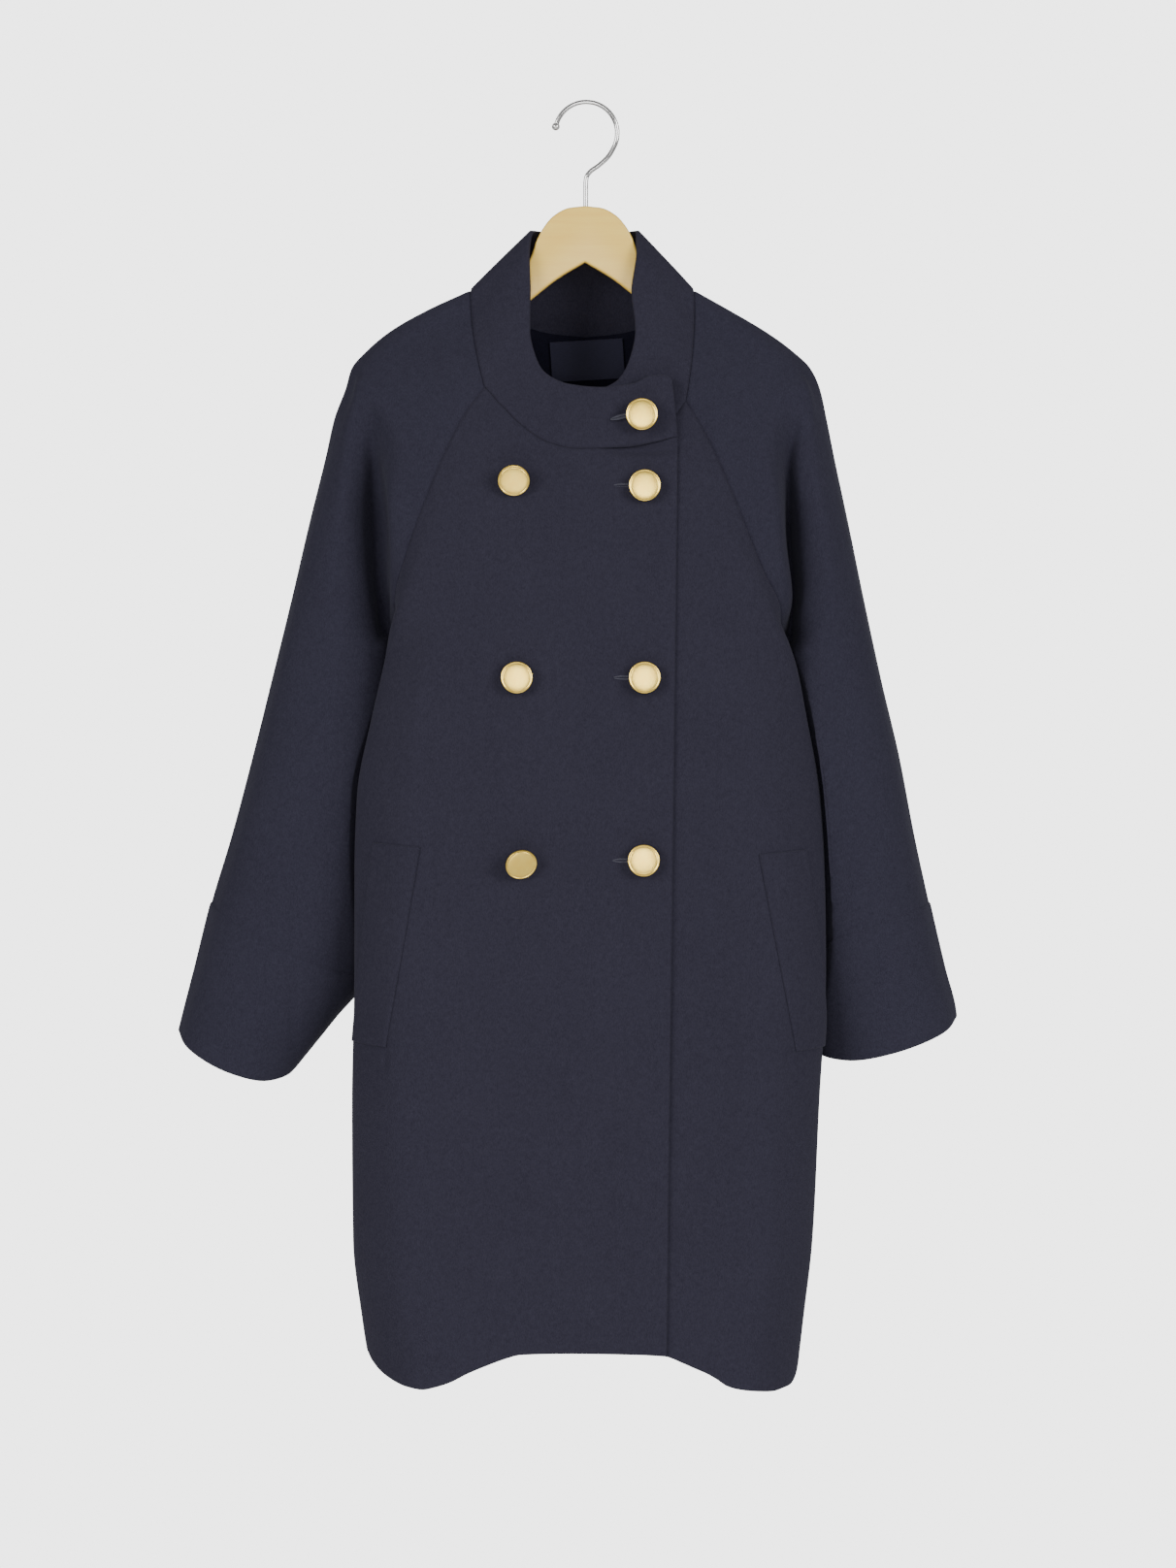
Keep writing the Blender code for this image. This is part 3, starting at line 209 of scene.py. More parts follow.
@dataclass
class CoatForm:
    """The coat's outer surface, from the same sizes as its solids."""

    over_edge: float = 77.0
    over_slant: float = 10.0
    under_edge: float = -88.0
    under_set_back: float = 3.3
    chest_dome: float = 1.0
    flutes: float = 3.5
    flute_phase: float = 0.46
    front_stops: tuple[float, ...] = (0.0, 0.35, 0.70)
    back_stops: tuple[float, ...] = (-0.45, 0.0, 0.45)
    back_round: float = 3.0
    turn_f: float = 0.93
    turn_share: float = 0.55
    cuff_back_rise: float = 5.0
    side_gap: tuple[float, float] = (0.18, 3.4)
    fall_gap: tuple[float, float] = (0.05, 2.4)
    clear_drop_range: tuple[float, float, float] = (455.0, 860.0, 5.0)
    clear_y_range: tuple[float, float, float] = (-75.0, 30.0, 2.5)
    under_collar: float = 3.4
    reach_samples: int = 401
    drop_settling: int = 12
    armpit: dict[Side, float] = field(default_factory=lambda: {Side.RIGHT: 490.0, Side.LEFT: 500.0})
    upper_rows: int = 72
    lower_rows: int = 108
    sleeve_rows: int = 60
    cuff_rows: int = 30
    columns_fine: int = 9
    body_side: dict[Side, Table] = field(default_factory=lambda: {
        Side.RIGHT: Table("drop corner_x corner_y edge_x edge_y seam_x seam_y", [
            (253, 60, -41, 75, -40, 88, -38), (278, 76, -47, 92, -45, 106, -42),
            (316, 91, -52, 109, -50, 125, -46), (338, 101, -55, 118, -53, 134, -49),
            (372, 114, -58, 132, -56, 147, -50), (402, 125, -61, 144, -58, 157, -49),
            (440, 135, -63, 160, -55, 167, -37), (466, 138, -64, 169, -46, 163, -6),
            (490, 141, -65, 174, -39, 155, 10), (543, 150, -66, 187, -33, 152, 14),
            (611, 161, -67, 200, -31, 156, 18), (680, 167, -68, 202, -31, 163, 20),
            (765, 168, -69, 202, -31, 172, 20), (880, 169, -70, 204, -31, 180, 20),
            (1000, 167, -71, 203, -31, 181, 20), (1070, 161, -72, 195, -31, 174, 20),
            (1130, 152, -72, 185, -31, 166, 20)]),
        Side.LEFT: Table("drop corner_x corner_y edge_x edge_y seam_x seam_y", [
            (266, 61, -41, 75, -40, 88, -38), (288, 74, -45, 90, -43, 102, -40),
            (316, 87, -49, 105, -47, 116, -43), (349, 101, -53, 118, -51, 130, -47),
            (382, 114, -57, 132, -54, 143, -49), (412, 124, -59, 144, -56, 155, -48),
            (452, 137, -61, 164, -53, 172, -36), (476, 143, -62, 176, -46, 172, -8),
            (500, 147, -62, 185, -38, 164, 10), (543, 154, -63, 194, -33, 160, 14),
            (611, 166, -64, 206, -31, 164, 18), (680, 173, -65, 210, -31, 171, 20),
            (765, 175, -66, 211, -31, 180, 20), (880, 170, -67, 205, -31, 182, 20),
            (1000, 165, -68, 199, -31, 178, 20), (1070, 158, -69, 191, -31, 170, 20),
            (1130, 151, -69, 184, -31, 163, 20)])})
    front_depth: Table = field(default_factory=lambda: Table("drop depth", [
        (250, 43), (300, 51), (340, 57), (400, 63), (466, 66), (560, 68), (700, 70), (900, 72), (1136, 74)]))
    back: Table = field(default_factory=lambda: Table(
        "drop raglan_x raglan_y corner_x corner_y depth flute", [
            (190, 68, 37, 52, 41, 46, 0), (240, 93, 46, 74, 51, 56, 0), (300, 116, 52, 96, 59, 65, 0),
            (360, 134, 55, 114, 63, 70, 1), (420, 149, 53, 128, 64, 73, 2), (462, 158, 36, 134, 64, 74, 3),
            (500, 155, 10, 135, 61, 75, 4), (560, 155, 10, 136, 62, 75, 5), (645, 155, 10, 140, 63, 75, 6),
            (765, 155, 10, 152, 62, 75, 7), (900, 155, 10, 160, 60, 74, 9),
            (1130, 155, 10, 150, 58, 75, 11)]))
    neckline: dict[Side, Table] = field(default_factory=lambda: {
        Side.RIGHT: Table("x drop", [
            (-88, 253), (-80, 261), (-58, 285), (-33, 302), (-7, 308), (36, 307), (64, 302), (77, 298)]),
        Side.LEFT: Table("x drop", [
            (-88, 296), (-60, 303), (-30, 308), (10, 309), (44, 303), (66, 291), (81, 274), (88, 266)])})
    hem: dict[Side, Table] = field(default_factory=lambda: {
        Side.RIGHT: Table("reach drop", [
            (-80, 1099), (-45, 1097), (16, 1096), (56, 1097), (72, 1101), (86, 1106), (104, 1113),
            (122, 1121), (136, 1125), (147, 1127), (163, 1125), (173, 1122), (183, 1118), (193, 1113),
            (203, 1106), (215, 1097), (245, 1092), (290, 1090)]),
        Side.LEFT: Table("reach drop", [
            (-95, 1094), (40, 1095), (72, 1099), (85, 1104), (97, 1109), (107, 1113), (117, 1118),
            (127, 1124), (138, 1127), (155, 1129), (173, 1130), (186, 1128), (196, 1126), (203, 1121),
            (209, 1113), (217, 1101), (245, 1092), (290, 1090)])})
    back_neck: Table = field(default_factory=lambda: Table("x drop", [(0, 200), (34, 197), (68, 190)]))
    neck_bow: Table = field(default_factory=lambda: Table(
        "out_drop bow", [(166, 2.8), (190, 2.2), (218, 1), (239, 0)]))
    back_hem: Table = field(default_factory=lambda: Table("x drop", [
        (0, 1090), (60, 1092), (120, 1090), (180, 1088)]))
    overarm: Table = field(default_factory=lambda: Table("drop right left y", [
        (166, 101, 96, 0), (184, 140, 128, 0), (201, 170, 157, 0), (218, 191, 181, 1), (235, 206, 199, 3),
        (252, 211, 207, 4), (278, 221, 213, 7), (312, 229, 220, 11), (372, 244, 233, 14),
        (440, 260, 247, 16), (509, 277, 262, 17), (577, 294, 278, 18), (645, 312, 291, 18),
        (705, 330, 304, 18), (765, 345, 318, 18), (800, 354, 327, 18), (820, 359, 329, 18)]))
    sleeve: dict[Side, Table] = field(default_factory=lambda: {
        Side.RIGHT: Table("out_drop front_drop back_drop in_x in_y bow", [
            (166, 253, 190, 0, 0, 0), (190, 278, 228, 0, 0, 0), (218, 316, 268, 0, 0, 0),
            (239, 338, 302, 0, 0, 0), (285, 372, 352, 0, 0, 0), (325, 402, 392, 0, 0, 0),
            (395, 440, 440, 0, 0, 0), (432, 466, 466, 0, 0, 0), (464, 490, 490, 159, 9, 0),
            (508, 534, 534, 160, 14, 0), (575, 610, 610, 163, 19, 4), (640, 688, 688, 171, 22, 8),
            (705, 767, 767, 190, 23, 12), (760, 808, 808, 222, 22, 18), (820, 849, 849, 255, 20, 22)]),
        Side.LEFT: Table("out_drop front_drop back_drop in_x in_y bow", [
            (166, 266, 190, 0, 0, 0), (190, 288, 228, 0, 0, 0), (218, 318, 268, 0, 0, 0),
            (239, 345, 302, 0, 0, 0), (285, 382, 352, 0, 0, 0), (325, 412, 396, 0, 0, 0),
            (395, 452, 448, 0, 0, 0), (432, 476, 476, 0, 0, 0), (464, 500, 500, 168, 9, 0),
            (508, 540, 540, 168, 14, 0), (575, 606, 606, 169, 19, 1), (640, 676, 676, 172, 22, 2),
            (705, 746, 746, 174, 23, 4), (760, 790, 790, 186, 22, 12), (808, 834, 834, 200, 20, 18)])})
    sleeve_front: dict[Side, Table] = field(default_factory=lambda: {
        Side.RIGHT: Table("out_drop lip_f lip_y fold_f fold_y rise_f rise_y crest_f crest_y", [
            (166, 0.15, -35, 0.35, -28, 0.55, -18, 0.80, -7),
            (190, 0.15, -39, 0.35, -32, 0.55, -23, 0.80, -11),
            (218, 0.20, -43, 0.45, -35, 0.62, -28, 0.80, -18),
            (239, 0.32, -44, 0.68, -27, 0.79, -24, 0.90, -17),
            (285, 0.30, -46, 0.52, -8, 0.65, -17, 0.83, -20), (325, 0.18, -43, 0.37, 2, 0.53, -14, 0.76, -22),
            (395, 0.06, -30, 0.17, 5, 0.33, -13, 0.66, -24), (432, 0.04, 0, 0.10, 5, 0.25, -12, 0.61, -25),
            (464, 0.02, 5, 0.07, -1, 0.21, -15, 0.56, -25), (508, 0.02, 5, 0.08, -5, 0.22, -18, 0.54, -25),
            (575, 0.02, 8, 0.08, -4, 0.22, -19, 0.52, -26), (640, 0.02, 10, 0.08, -3, 0.22, -19, 0.52, -27),
            (705, 0.02, 12, 0.08, -2, 0.24, -18, 0.55, -27), (760, 0.02, 12, 0.08, 0, 0.24, -14, 0.55, -24),
            (820, 0.02, 12, 0.08, 2, 0.24, -10, 0.55, -20)]),
        Side.LEFT: Table("out_drop lip_f lip_y fold_f fold_y rise_f rise_y crest_f crest_y", [
            (166, 0.15, -35, 0.35, -28, 0.55, -18, 0.80, -7),
            (190, 0.15, -38, 0.35, -32, 0.55, -23, 0.80, -11),
            (218, 0.20, -41, 0.45, -34, 0.62, -27, 0.80, -18),
            (239, 0.32, -43, 0.68, -27, 0.79, -25, 0.90, -18),
            (285, 0.34, -46, 0.50, -12, 0.62, -25, 0.81, -25),
            (325, 0.24, -44, 0.36, 2, 0.50, -22, 0.74, -28),
            (395, 0.08, -32, 0.17, 5, 0.31, -22, 0.64, -32), (432, 0.04, 0, 0.10, 4, 0.23, -20, 0.60, -34),
            (464, 0.02, 4, 0.07, -4, 0.20, -24, 0.56, -35), (508, 0.02, 3, 0.08, -10, 0.22, -29, 0.54, -36),
            (575, 0.02, 5, 0.08, -10, 0.22, -32, 0.52, -38), (640, 0.02, 8, 0.08, -8, 0.22, -30, 0.52, -38),
            (705, 0.02, 11, 0.08, -5, 0.24, -22, 0.55, -34), (760, 0.02, 12, 0.08, -1, 0.24, -16, 0.55, -28),
            (808, 0.02, 12, 0.08, 1, 0.24, -12, 0.55, -24)])})
    sleeve_back: Table = field(default_factory=lambda: Table(
        "out_drop lip_f lip_y fold_f fold_y rise_f rise_y crest_f crest_y", [
            (166, 0.15, 35, 0.35, 29, 0.55, 21, 0.80, 9), (190, 0.15, 42, 0.35, 36, 0.55, 28, 0.80, 14),
            (218, 0.20, 46, 0.45, 38, 0.62, 31, 0.80, 20), (239, 0.25, 49, 0.58, 38, 0.72, 32, 0.88, 21),
            (285, 0.28, 50, 0.52, 37, 0.67, 38, 0.84, 31), (325, 0.24, 50, 0.44, 34, 0.60, 41, 0.80, 38),
            (395, 0.11, 43, 0.27, 29, 0.45, 43, 0.72, 48), (432, 0.06, 27, 0.15, 26, 0.33, 42, 0.63, 51),
            (464, 0.02, 17, 0.08, 25, 0.25, 42, 0.58, 54), (508, 0.02, 23, 0.08, 33, 0.24, 48, 0.55, 57),
            (575, 0.02, 27, 0.08, 36, 0.24, 50, 0.55, 59), (640, 0.02, 30, 0.08, 38, 0.24, 50, 0.55, 59),
            (705, 0.02, 31, 0.08, 39, 0.25, 51, 0.55, 58), (760, 0.02, 30, 0.08, 38, 0.26, 49, 0.55, 55),
            (820, 0.02, 28, 0.09, 36, 0.27, 46, 0.55, 51)]))
    cuff_out: dict[Side, tuple[float, float]] = field(default_factory=lambda: {
        Side.RIGHT: (705.0, 820.0), Side.LEFT: (705.0, 808.0)})
    collar_top: Table = field(default_factory=lambda: Table("mark x y drop", [
        (0.00, -30, -34, 250), (0.35, 2, -38, 257), (0.60, 26, -38, 249), (0.80, 38, -34, 231),
        (1.00, 44, -28, 204), (1.45, 41, -22, 168), (1.75, 46, -14, 132), (2.00, 46, 0, 113),
        (2.50, 41, 17, 112), (3.00, 30, 27, 113), (3.50, 0, 34, 115), (4.00, -30, 27, 113),
        (4.50, -41, 17, 112), (5.00, -47, 0, 113), (5.25, -49.5, -14, 132), (5.55, -48, -22, 168),
        (6.00, -48, -28, 204), (6.20, -38, -36, 237), (6.40, -14, -43, 251), (6.60, 14, -46, 254),
        (6.78, 42, -47, 251), (6.88, 58, -47, 244),
        (6.96, 70, -47, 243.5), (7.00, 76, -47, 248)]))
    collar_bulge: float = 0.4
    collar_rows: int = 36

    def __post_init__(self) -> None:
        """Work out how wide the body is, for the sleeves to keep clear of it."""
        self.clear_drops = np.arange(*self.clear_drop_range)
        self.clear_ys = np.arange(*self.clear_y_range)
        self.widths = {side: self._width_rows(side) for side in Side}

    def _width_rows(self, side: Side) -> np.ndarray:
        """Half-width of the body at each of the drops and depths that the sleeves pass.

        Args:
            side: Which side of the body.

        Returns:
            Array of (drops, depths).
        """
        fine = np.linspace(3.0, 5.0, 41)
        rows = []
        for drop in self.clear_drops:
            line = self.front_point(side, fine, np.full_like(fine, drop))
            rows.append(np.interp(self.clear_ys, line[:, 1], np.abs(line[:, 0])))
        return np.array(rows)

    def front_surface(self, x: np.ndarray, drop: np.ndarray, set_back: float) -> np.ndarray:
        """Y of the flat front at x."""
        return -self.front_depth.at("depth", drop) + self.chest_dome * (x / 100.0) ** 2 + set_back

    def front_edge_x(self, side: Side, drop: np.ndarray) -> np.ndarray:
        """X of a front's free edge at each drop.

        Args:
            side: Which front.
            drop: The drops.

        Returns:
            X at each drop.
        """
        if side is Side.LEFT:
            return np.full_like(drop, self.under_edge)
        return self.over_edge + 4.0 - self.over_slant * (drop - 300.0) / 800.0

    def front_point(self, side: Side, at: np.ndarray, drop: np.ndarray) -> np.ndarray:
        """Points on a front.

        Args:
            side: Which front.
            at: Places across it, from its free edge at 0 to its seam at 5.
            drop: Drop of each point.

        Returns:
            The points.
        """
        table = self.body_side[side]
        set_back = 0.0 if side is Side.RIGHT else self.under_set_back
        near = self.front_edge_x(side, drop)
        corner = side.value * table.at("corner_x", drop)
        controls = []
        for share in self.front_stops:
            x = near + (corner - near) * share
            controls.append(np.stack([x, self.front_surface(x, drop, set_back), drop], axis=1))
        for name in ("corner", "edge", "seam"):
            x = side.value * table.at(name + "_x", drop)
            controls.append(np.stack([x, table.at(name + "_y", drop), drop], axis=1))
        return curve_through(np.array(controls), at)

    def reach_of(self, side: Side, at: np.ndarray, drop: float) -> np.ndarray:
        """Way round a front from the centre line to each place across it.

        Args:
            side: Which front.
            at: Places across it.
            drop: The level of the row.

        Returns:
            The way to each place, negative past the centre line.
        """
        fine = np.linspace(0.0, 5.0, self.reach_samples)
        line = self.front_point(side, fine, np.full_like(fine, drop))
        length = length_along(line)
        near = self.reach_samples // 2
        centre = np.interp(0.0, side.value * line[:near, 0], length[:near])
        return np.interp(at, fine, length) - centre

    def neck_drops(self, side: Side, at: np.ndarray) -> np.ndarray:
        """Drop of a front's neckline at each place across it.

        Args:
            side: Which front.
            at: Places across it.

        Returns:
            The drop at each place.
        """
        lowest = self.body_side[side].rows[0, 0]
        drop = np.full_like(at, 290.0)
        for _ in range(self.drop_settling):
            x = self.front_point(side, at, np.maximum(drop, lowest))[:, 0]
            drop = self.neckline[side].at("drop", x)
        return np.maximum(drop, lowest)

    def sleeve_out_drops(self, side: Side) -> np.ndarray:
        """Overarm drops of the sleeve rows from the neckline to the armpit.

        Args:
            side: The wearer's side.

        Returns:
            One drop for each row.
        """
        rows = self.sleeve[side].rows
        last = int(np.argmax(rows[:, 1] >= self.armpit[side]))
        places = Table("place out_drop", [(float(k), row[0]) for k, row in enumerate(rows)])
        return places.at("out_drop", np.linspace(0.0, last, self.upper_rows + 1))

    def raglan_shares(self, side: Side, which: str) -> np.ndarray:
        """How far each sleeve row above the armpit is down its raglan seam."""
        drops = self.sleeve[side].at(which, self.sleeve_out_drops(side))
        return (drops - drops[0]) / (drops[-1] - drops[0])

    def front_grid(self, side: Side) -> np.ndarray:
        """Outer points of a front from the neckline to the hem.

        Args:
            side: Which front.

        Returns:
            Array of (rows, columns, 3).
        """
        at = divisions((2, 2, 3, 3, 2), self.columns_fine)
        top = self.neck_drops(side, at)
        hem = self.hem[side].at("drop", self.reach_of(side, at, 1090.0))
        armpit = self.armpit[side]
        drops = [top + (armpit - top) * share for share in self.raglan_shares(side, "front_drop")]
        drops += [armpit + (hem - armpit) * k / self.lower_rows for k in range(1, self.lower_rows + 1)]
        return np.array([self.front_point(side, at, drop) for drop in drops])

    def back_raglan(self, side: Side, drop: np.ndarray) -> tuple[np.ndarray, np.ndarray]:
        """X and Y of the back raglan seam, which ends at the armpit of its side.

        Args:
            side: The wearer's side.
            drop: The drops.

        Returns:
            X, without its sign, and Y at each drop.
        """
        armpit = self.armpit[side]
        body = self.body_side[side]
        rows = self.back.rows[self.back.rows[:, 0] < 470]
        ends = [(row[0], row[1], row[2]) for row in rows]
        ends.append((armpit, float(body.at("seam_x", armpit)), float(body.at("seam_y", armpit))))
        seam = Table("drop x y", ends)
        return seam.at("x", drop), seam.at("y", drop)

    def back_point(self, at: np.ndarray, drop: np.ndarray) -> np.ndarray:
        """Points on the back, with its soft upright flutes.

        Args:
            at: Places across it, from its right seam at 0 to its left one at 6.
            drop: Drop of each point.

        Returns:
            The points.
        """
        corner_x, corner_y = self.back.at("corner_x", drop), self.back.at("corner_y", drop)
        place: dict[Side, list[np.ndarray]] = {}
        for side in Side:
            armpit = self.armpit[side]
            below = drop >= armpit
            low, high = np.maximum(drop, armpit), np.minimum(drop, armpit)
            raglan_x, raglan_y = self.back_raglan(side, high)
            seam_x = np.where(below, self.body_side[side].at("seam_x", low), raglan_x)
            seam_y = np.where(below, self.body_side[side].at("seam_y", low), raglan_y)
            place[side] = [np.stack([side.value * seam_x, seam_y, drop], axis=1),
                           np.stack([side.value * corner_x, corner_y, drop], axis=1)]
        depth = self.back.at("depth", drop)
        middle = [np.stack([share * corner_x, depth - self.back_round * abs(share), drop], axis=1)
                  for share in self.back_stops]
        controls = np.array(place[Side.RIGHT] + middle + place[Side.LEFT][::-1])
        point = curve_through(controls, at)
        share = np.clip((at - 1.0) / 4.0, 0.0, 1.0)
        window = np.sin(math.pi * share) ** 0.5 * (at > 1.0) * (at < 5.0)
        wave = np.cos(2.0 * math.pi * self.flutes * (share - self.flute_phase))
        point[:, 1] += self.back.at("flute", drop) * wave * window
        return point

    def back_grid(self) -> np.ndarray:
        """Outer points of the back from its neckline to its hem.

        Returns:
            Array of (rows, columns, 3).
        """
        at = divisions((2, 3, 4, 4, 3, 2), self.columns_fine)
        share_left = at / at[-1]
        top = self.back_neck.at("drop", np.abs(self.back_point(at, np.full_like(at, 195.0))[:, 0]))
        hem = self.back_hem.at("drop", np.abs(self.back_point(at, np.full_like(at, 1090.0))[:, 0]))
        armpit = self.armpit[Side.RIGHT] * (1 - share_left) + self.armpit[Side.LEFT] * share_left
        shares = zip(self.raglan_shares(Side.RIGHT, "back_drop"), self.raglan_shares(Side.LEFT, "back_drop"))
        drops = [top + (armpit - top) * (right * (1 - share_left) + left * share_left)
                 for right, left in shares]
        drops += [armpit + (hem - armpit) * k / self.lower_rows for k in range(1, self.lower_rows + 1)]
        return np.array([self.back_point(at, drop) for drop in drops])

    def inner_seam(self, side: Side, half: Half, out_drop: np.ndarray) -> list[np.ndarray]:
        """Where a sleeve row starts: on the raglan seam, or under the arm below the armpit.

        Args:
            side: The wearer's side.
            half: Which half of the sleeve.
            out_drop: Overarm drop of each row.

        Returns:
            X, without its sign, Y and drop of each row's start.
        """
        rows = self.sleeve[side]
        drop = rows.at(half.value + "_drop", out_drop)
        armpit = self.armpit[side]
        high = np.minimum(drop, armpit)
        if half is Half.FRONT:
            x, y = self.body_side[side].at("seam_x", high), self.body_side[side].at("seam_y", high)
        else:
            x, y = self.back_raglan(side, high)
        low = Table("out_drop x y", [(r[0], r[3], r[4]) for r in rows.rows if r[1] >= armpit])
        under = drop >= armpit
        return [np.where(under, low.at("x", out_drop), x), np.where(under, low.at("y", out_drop), y), drop]

    def sleeve_line(self, side: Side, half: Half, at: np.ndarray, out_drop: float) -> np.ndarray:
        """One row of a sleeve half, from its inner seam at 0 to the overarm line at 6.

        Args:
            side: The wearer's side.
            half: Which half of the sleeve.
            at: Places along the row.
            out_drop: The row's overarm drop.

        Returns:
            The row's points.
        """
        out = np.full_like(at, out_drop)
        table = self.sleeve_front[side] if half is Half.FRONT else self.sleeve_back
        in_x, in_y, in_drop = self.inner_seam(side, half, out)
        out_x, out_y = self.overarm.at(side.word, out), self.overarm.at("y", out)
        bow = self.sleeve[side].at("bow", out)
        if half is Half.BACK:
            bow = bow - self.cuff_back_rise * np.clip((out - 705.0) / 100.0, 0.0, 1.0)
        neck_bow = self.neck_bow.at("bow", out) if half is Half.FRONT else 0.0
        crest_y = table.at("crest_y", out)
        stops = [(0.0 * out, in_y)]
        stops += [(table.at(name + "_f", out), table.at(name + "_y", out))
                  for name in ("lip", "fold", "rise")]
        stops += [(table.at("crest_f", out), crest_y),
                  (0.0 * out + self.turn_f, out_y + (crest_y - out_y) * self.turn_share),
                  (0.0 * out + 1.0, out_y)]
        controls = []
        for share, y in stops:
            drop = in_drop + (out - in_drop) * share + bow * (1.0 - (2.0 * share - 1.0) ** 4)
            x = in_x + (out_x - in_x) * share + 4.0 * neck_bow * share * (1.0 - share)
            controls.append(np.stack([side.value * x, y, drop], axis=1))
        return self.keep_clear(side, curve_through(np.array(controls), at))

    def keep_clear(self, side: Side, points: np.ndarray) -> np.ndarray:
        """Sleeve points moved outwards, where they must, to clear the side of the body.

        Args:
            side: The wearer's side.
            points: The sleeve's points, which are changed.

        Returns:
            The same points.
        """
        table, armpit = self.body_side[side], self.armpit[side]
        drop, y = points[:, 2], points[:, 1]
        beside = (drop > armpit - 30.0) & (y > table.at("corner_y", drop))
        beside &= (y < table.at("seam_y", drop)) | (drop > armpit + 1.0)
        last_row, last_column = len(self.clear_drops) - 1.001, len(self.clear_ys) - 1.001
        row = np.clip((drop - self.clear_drops[0]) / self.clear_drop_range[2], 0.0, last_row)
        column = np.clip((y - self.clear_ys[0]) / self.clear_y_range[2], 0.0, last_column)
        r, c = row.astype(int), column.astype(int)
        fr, fc = row - r, column - c
        wide = self.widths[side]
        width = ((wide[r, c] * (1 - fc) + wide[r, c + 1] * fc) * (1 - fr)
                 + (wide[r + 1, c] * (1 - fc) + wide[r + 1, c + 1] * fc) * fr)
        reach = np.abs(points[:, 0])
        from_seam = np.hypot(reach - table.at("seam_x", drop), y - table.at("seam_y", drop))
        gap = np.clip(self.side_gap[0] * from_seam, 0.0, self.side_gap[1])
        gap += np.clip(self.fall_gap[0] * (drop - armpit), 0.0, self.fall_gap[1])
        points[:, 0] = side.value * np.where(beside, np.maximum(reach, width + gap), reach)
        return points

    def sleeve_grid(self, side: Side, half: Half) -> np.ndarray:
        """Outer points of half a sleeve from the neckline to the cuff seam.

        Args:
            side: The wearer's side.
            half: Which half of the sleeve.

        Returns:
            Array of (rows, columns, 3).
        """
        at = divisions((1, 1, 1, 2, 2, 1), self.columns_fine)
        upper = self.sleeve_out_drops(side)
        lower = np.linspace(upper[-1], self.cuff_out[side][0], self.sleeve_rows + 1)[1:]
        return np.array([self.sleeve_line(side, half, at, drop) for drop in np.concatenate([upper, lower])])

    def cuff_grid(self, side: Side) -> np.ndarray:
        """Outer points of a cuff as a tube, up its front half and back round its rear half.

        Args:
            side: The wearer's side.

        Returns:
            Array of (rows, columns, 3).
        """
        at = divisions((1, 1, 1, 2, 2, 1), self.columns_fine)
        drops = np.linspace(*self.cuff_out[side], self.cuff_rows + 1)
        front = np.array([self.sleeve_line(side, Half.FRONT, at, drop) for drop in drops])
        back = np.array([self.sleeve_line(side, Half.BACK, at, drop) for drop in drops])
        return np.concatenate([front, back[:, -2:0:-1]], axis=1)

    def collar_grid(self, grids: dict[str, np.ndarray]) -> np.ndarray:
        """Outer points of the collar from its top edge down to the neck seam.

        Args:
            grids: The panels whose top rows make the neck seam.

        Returns:
            The collar's points, from its hidden left end round to the tab.
        """
        left = grids["front_left"][0]
        start = int(np.argmax(left[:, 0] > -45.0))
        chains = [left[start:], grids["sleeve_front_left"][0], grids["sleeve_back_left"][0][::-1],
                  grids["back"][0][::-1], grids["sleeve_back_right"][0],
                  grids["sleeve_front_right"][0][::-1], grids["front_right"][0][::-1]]
        points: list[np.ndarray] = []
        marks: list[float] = []
        for first, chain in enumerate(chains):
            steps = np.linalg.norm(np.diff(chain, axis=0), axis=1)
            share = np.concatenate([[0.0], np.cumsum(steps)]) / steps.sum()
            skip = 1 if points else 0
            points.extend(chain[skip:])
            marks.extend(first + share[skip:])
        bottom, mark = np.array(points), np.array(marks)
        top = np.stack([self.collar_top.at(name, mark) for name in ("x", "y", "drop")], axis=1)
        rows = []
        for share in np.linspace(0.0, 1.0, self.collar_rows + 1):
            line = top + (bottom - top) * share
            away = line * np.array([1.0, 1.0, 0.0])
            away /= np.linalg.norm(away, axis=1, keepdims=True)
            rows.append(line + away * self.collar_bulge * math.sin(math.pi * share))
        grid = np.array(rows)
        under = np.clip((1.0 - mark) / 0.35, 0.0, 1.0)
        grid[:, :, 1] += (self.under_collar * under * under * (3.0 - 2.0 * under))[None, :]
        return grid


# ------------------------------------------------------------------ creases and cloth shells

@dataclass(frozen=True)
class Crease:
    """A soft trough or ridge in the cloth, along a path seen from the front or the back.

    depth is how far the cloth goes in, and is negative for a ridge.
    """

    path: Path
    width: float
    depth: float
    behind: bool = False

    TAPER = 0.7
    FRONT_TO_Y = 26.0

    def push(self, grid: np.ndarray) -> np.ndarray:
        """How far each point of a grid moves in.

        Args:
            grid: Outer points of a panel.

        Returns:
            The depth at each point.
        """
        x, drop, y = grid[..., 0], grid[..., 2], grid[..., 1]
        best = np.full(x.shape, 1e9)
        along = np.zeros(x.shape)
        points = np.array(self.path, dtype=float)
        steps = np.linalg.norm(np.diff(points, axis=0), axis=1)
        total = steps.sum()
        before = 0.0
        for start, end, step in zip(points[:-1], points[1:], steps):
            way = (end - start) / step
            run = np.clip((x - start[0]) * way[0] + (drop - start[1]) * way[1], 0.0, step)
            off = np.hypot(x - start[0] - way[0] * run, drop - start[1] - way[1] * run)
            near = off < best
            best = np.where(near, off, best)
            along = np.where(near, (before + run) / total, along)
            before += step
        taper = np.sin(math.pi * np.clip(along, 0.0, 1.0)) ** self.TAPER
        facing = (y > 0.0) if self.behind else (y < self.FRONT_TO_Y)
        return self.depth * taper * np.exp(-(best / self.width) ** 2) * facing


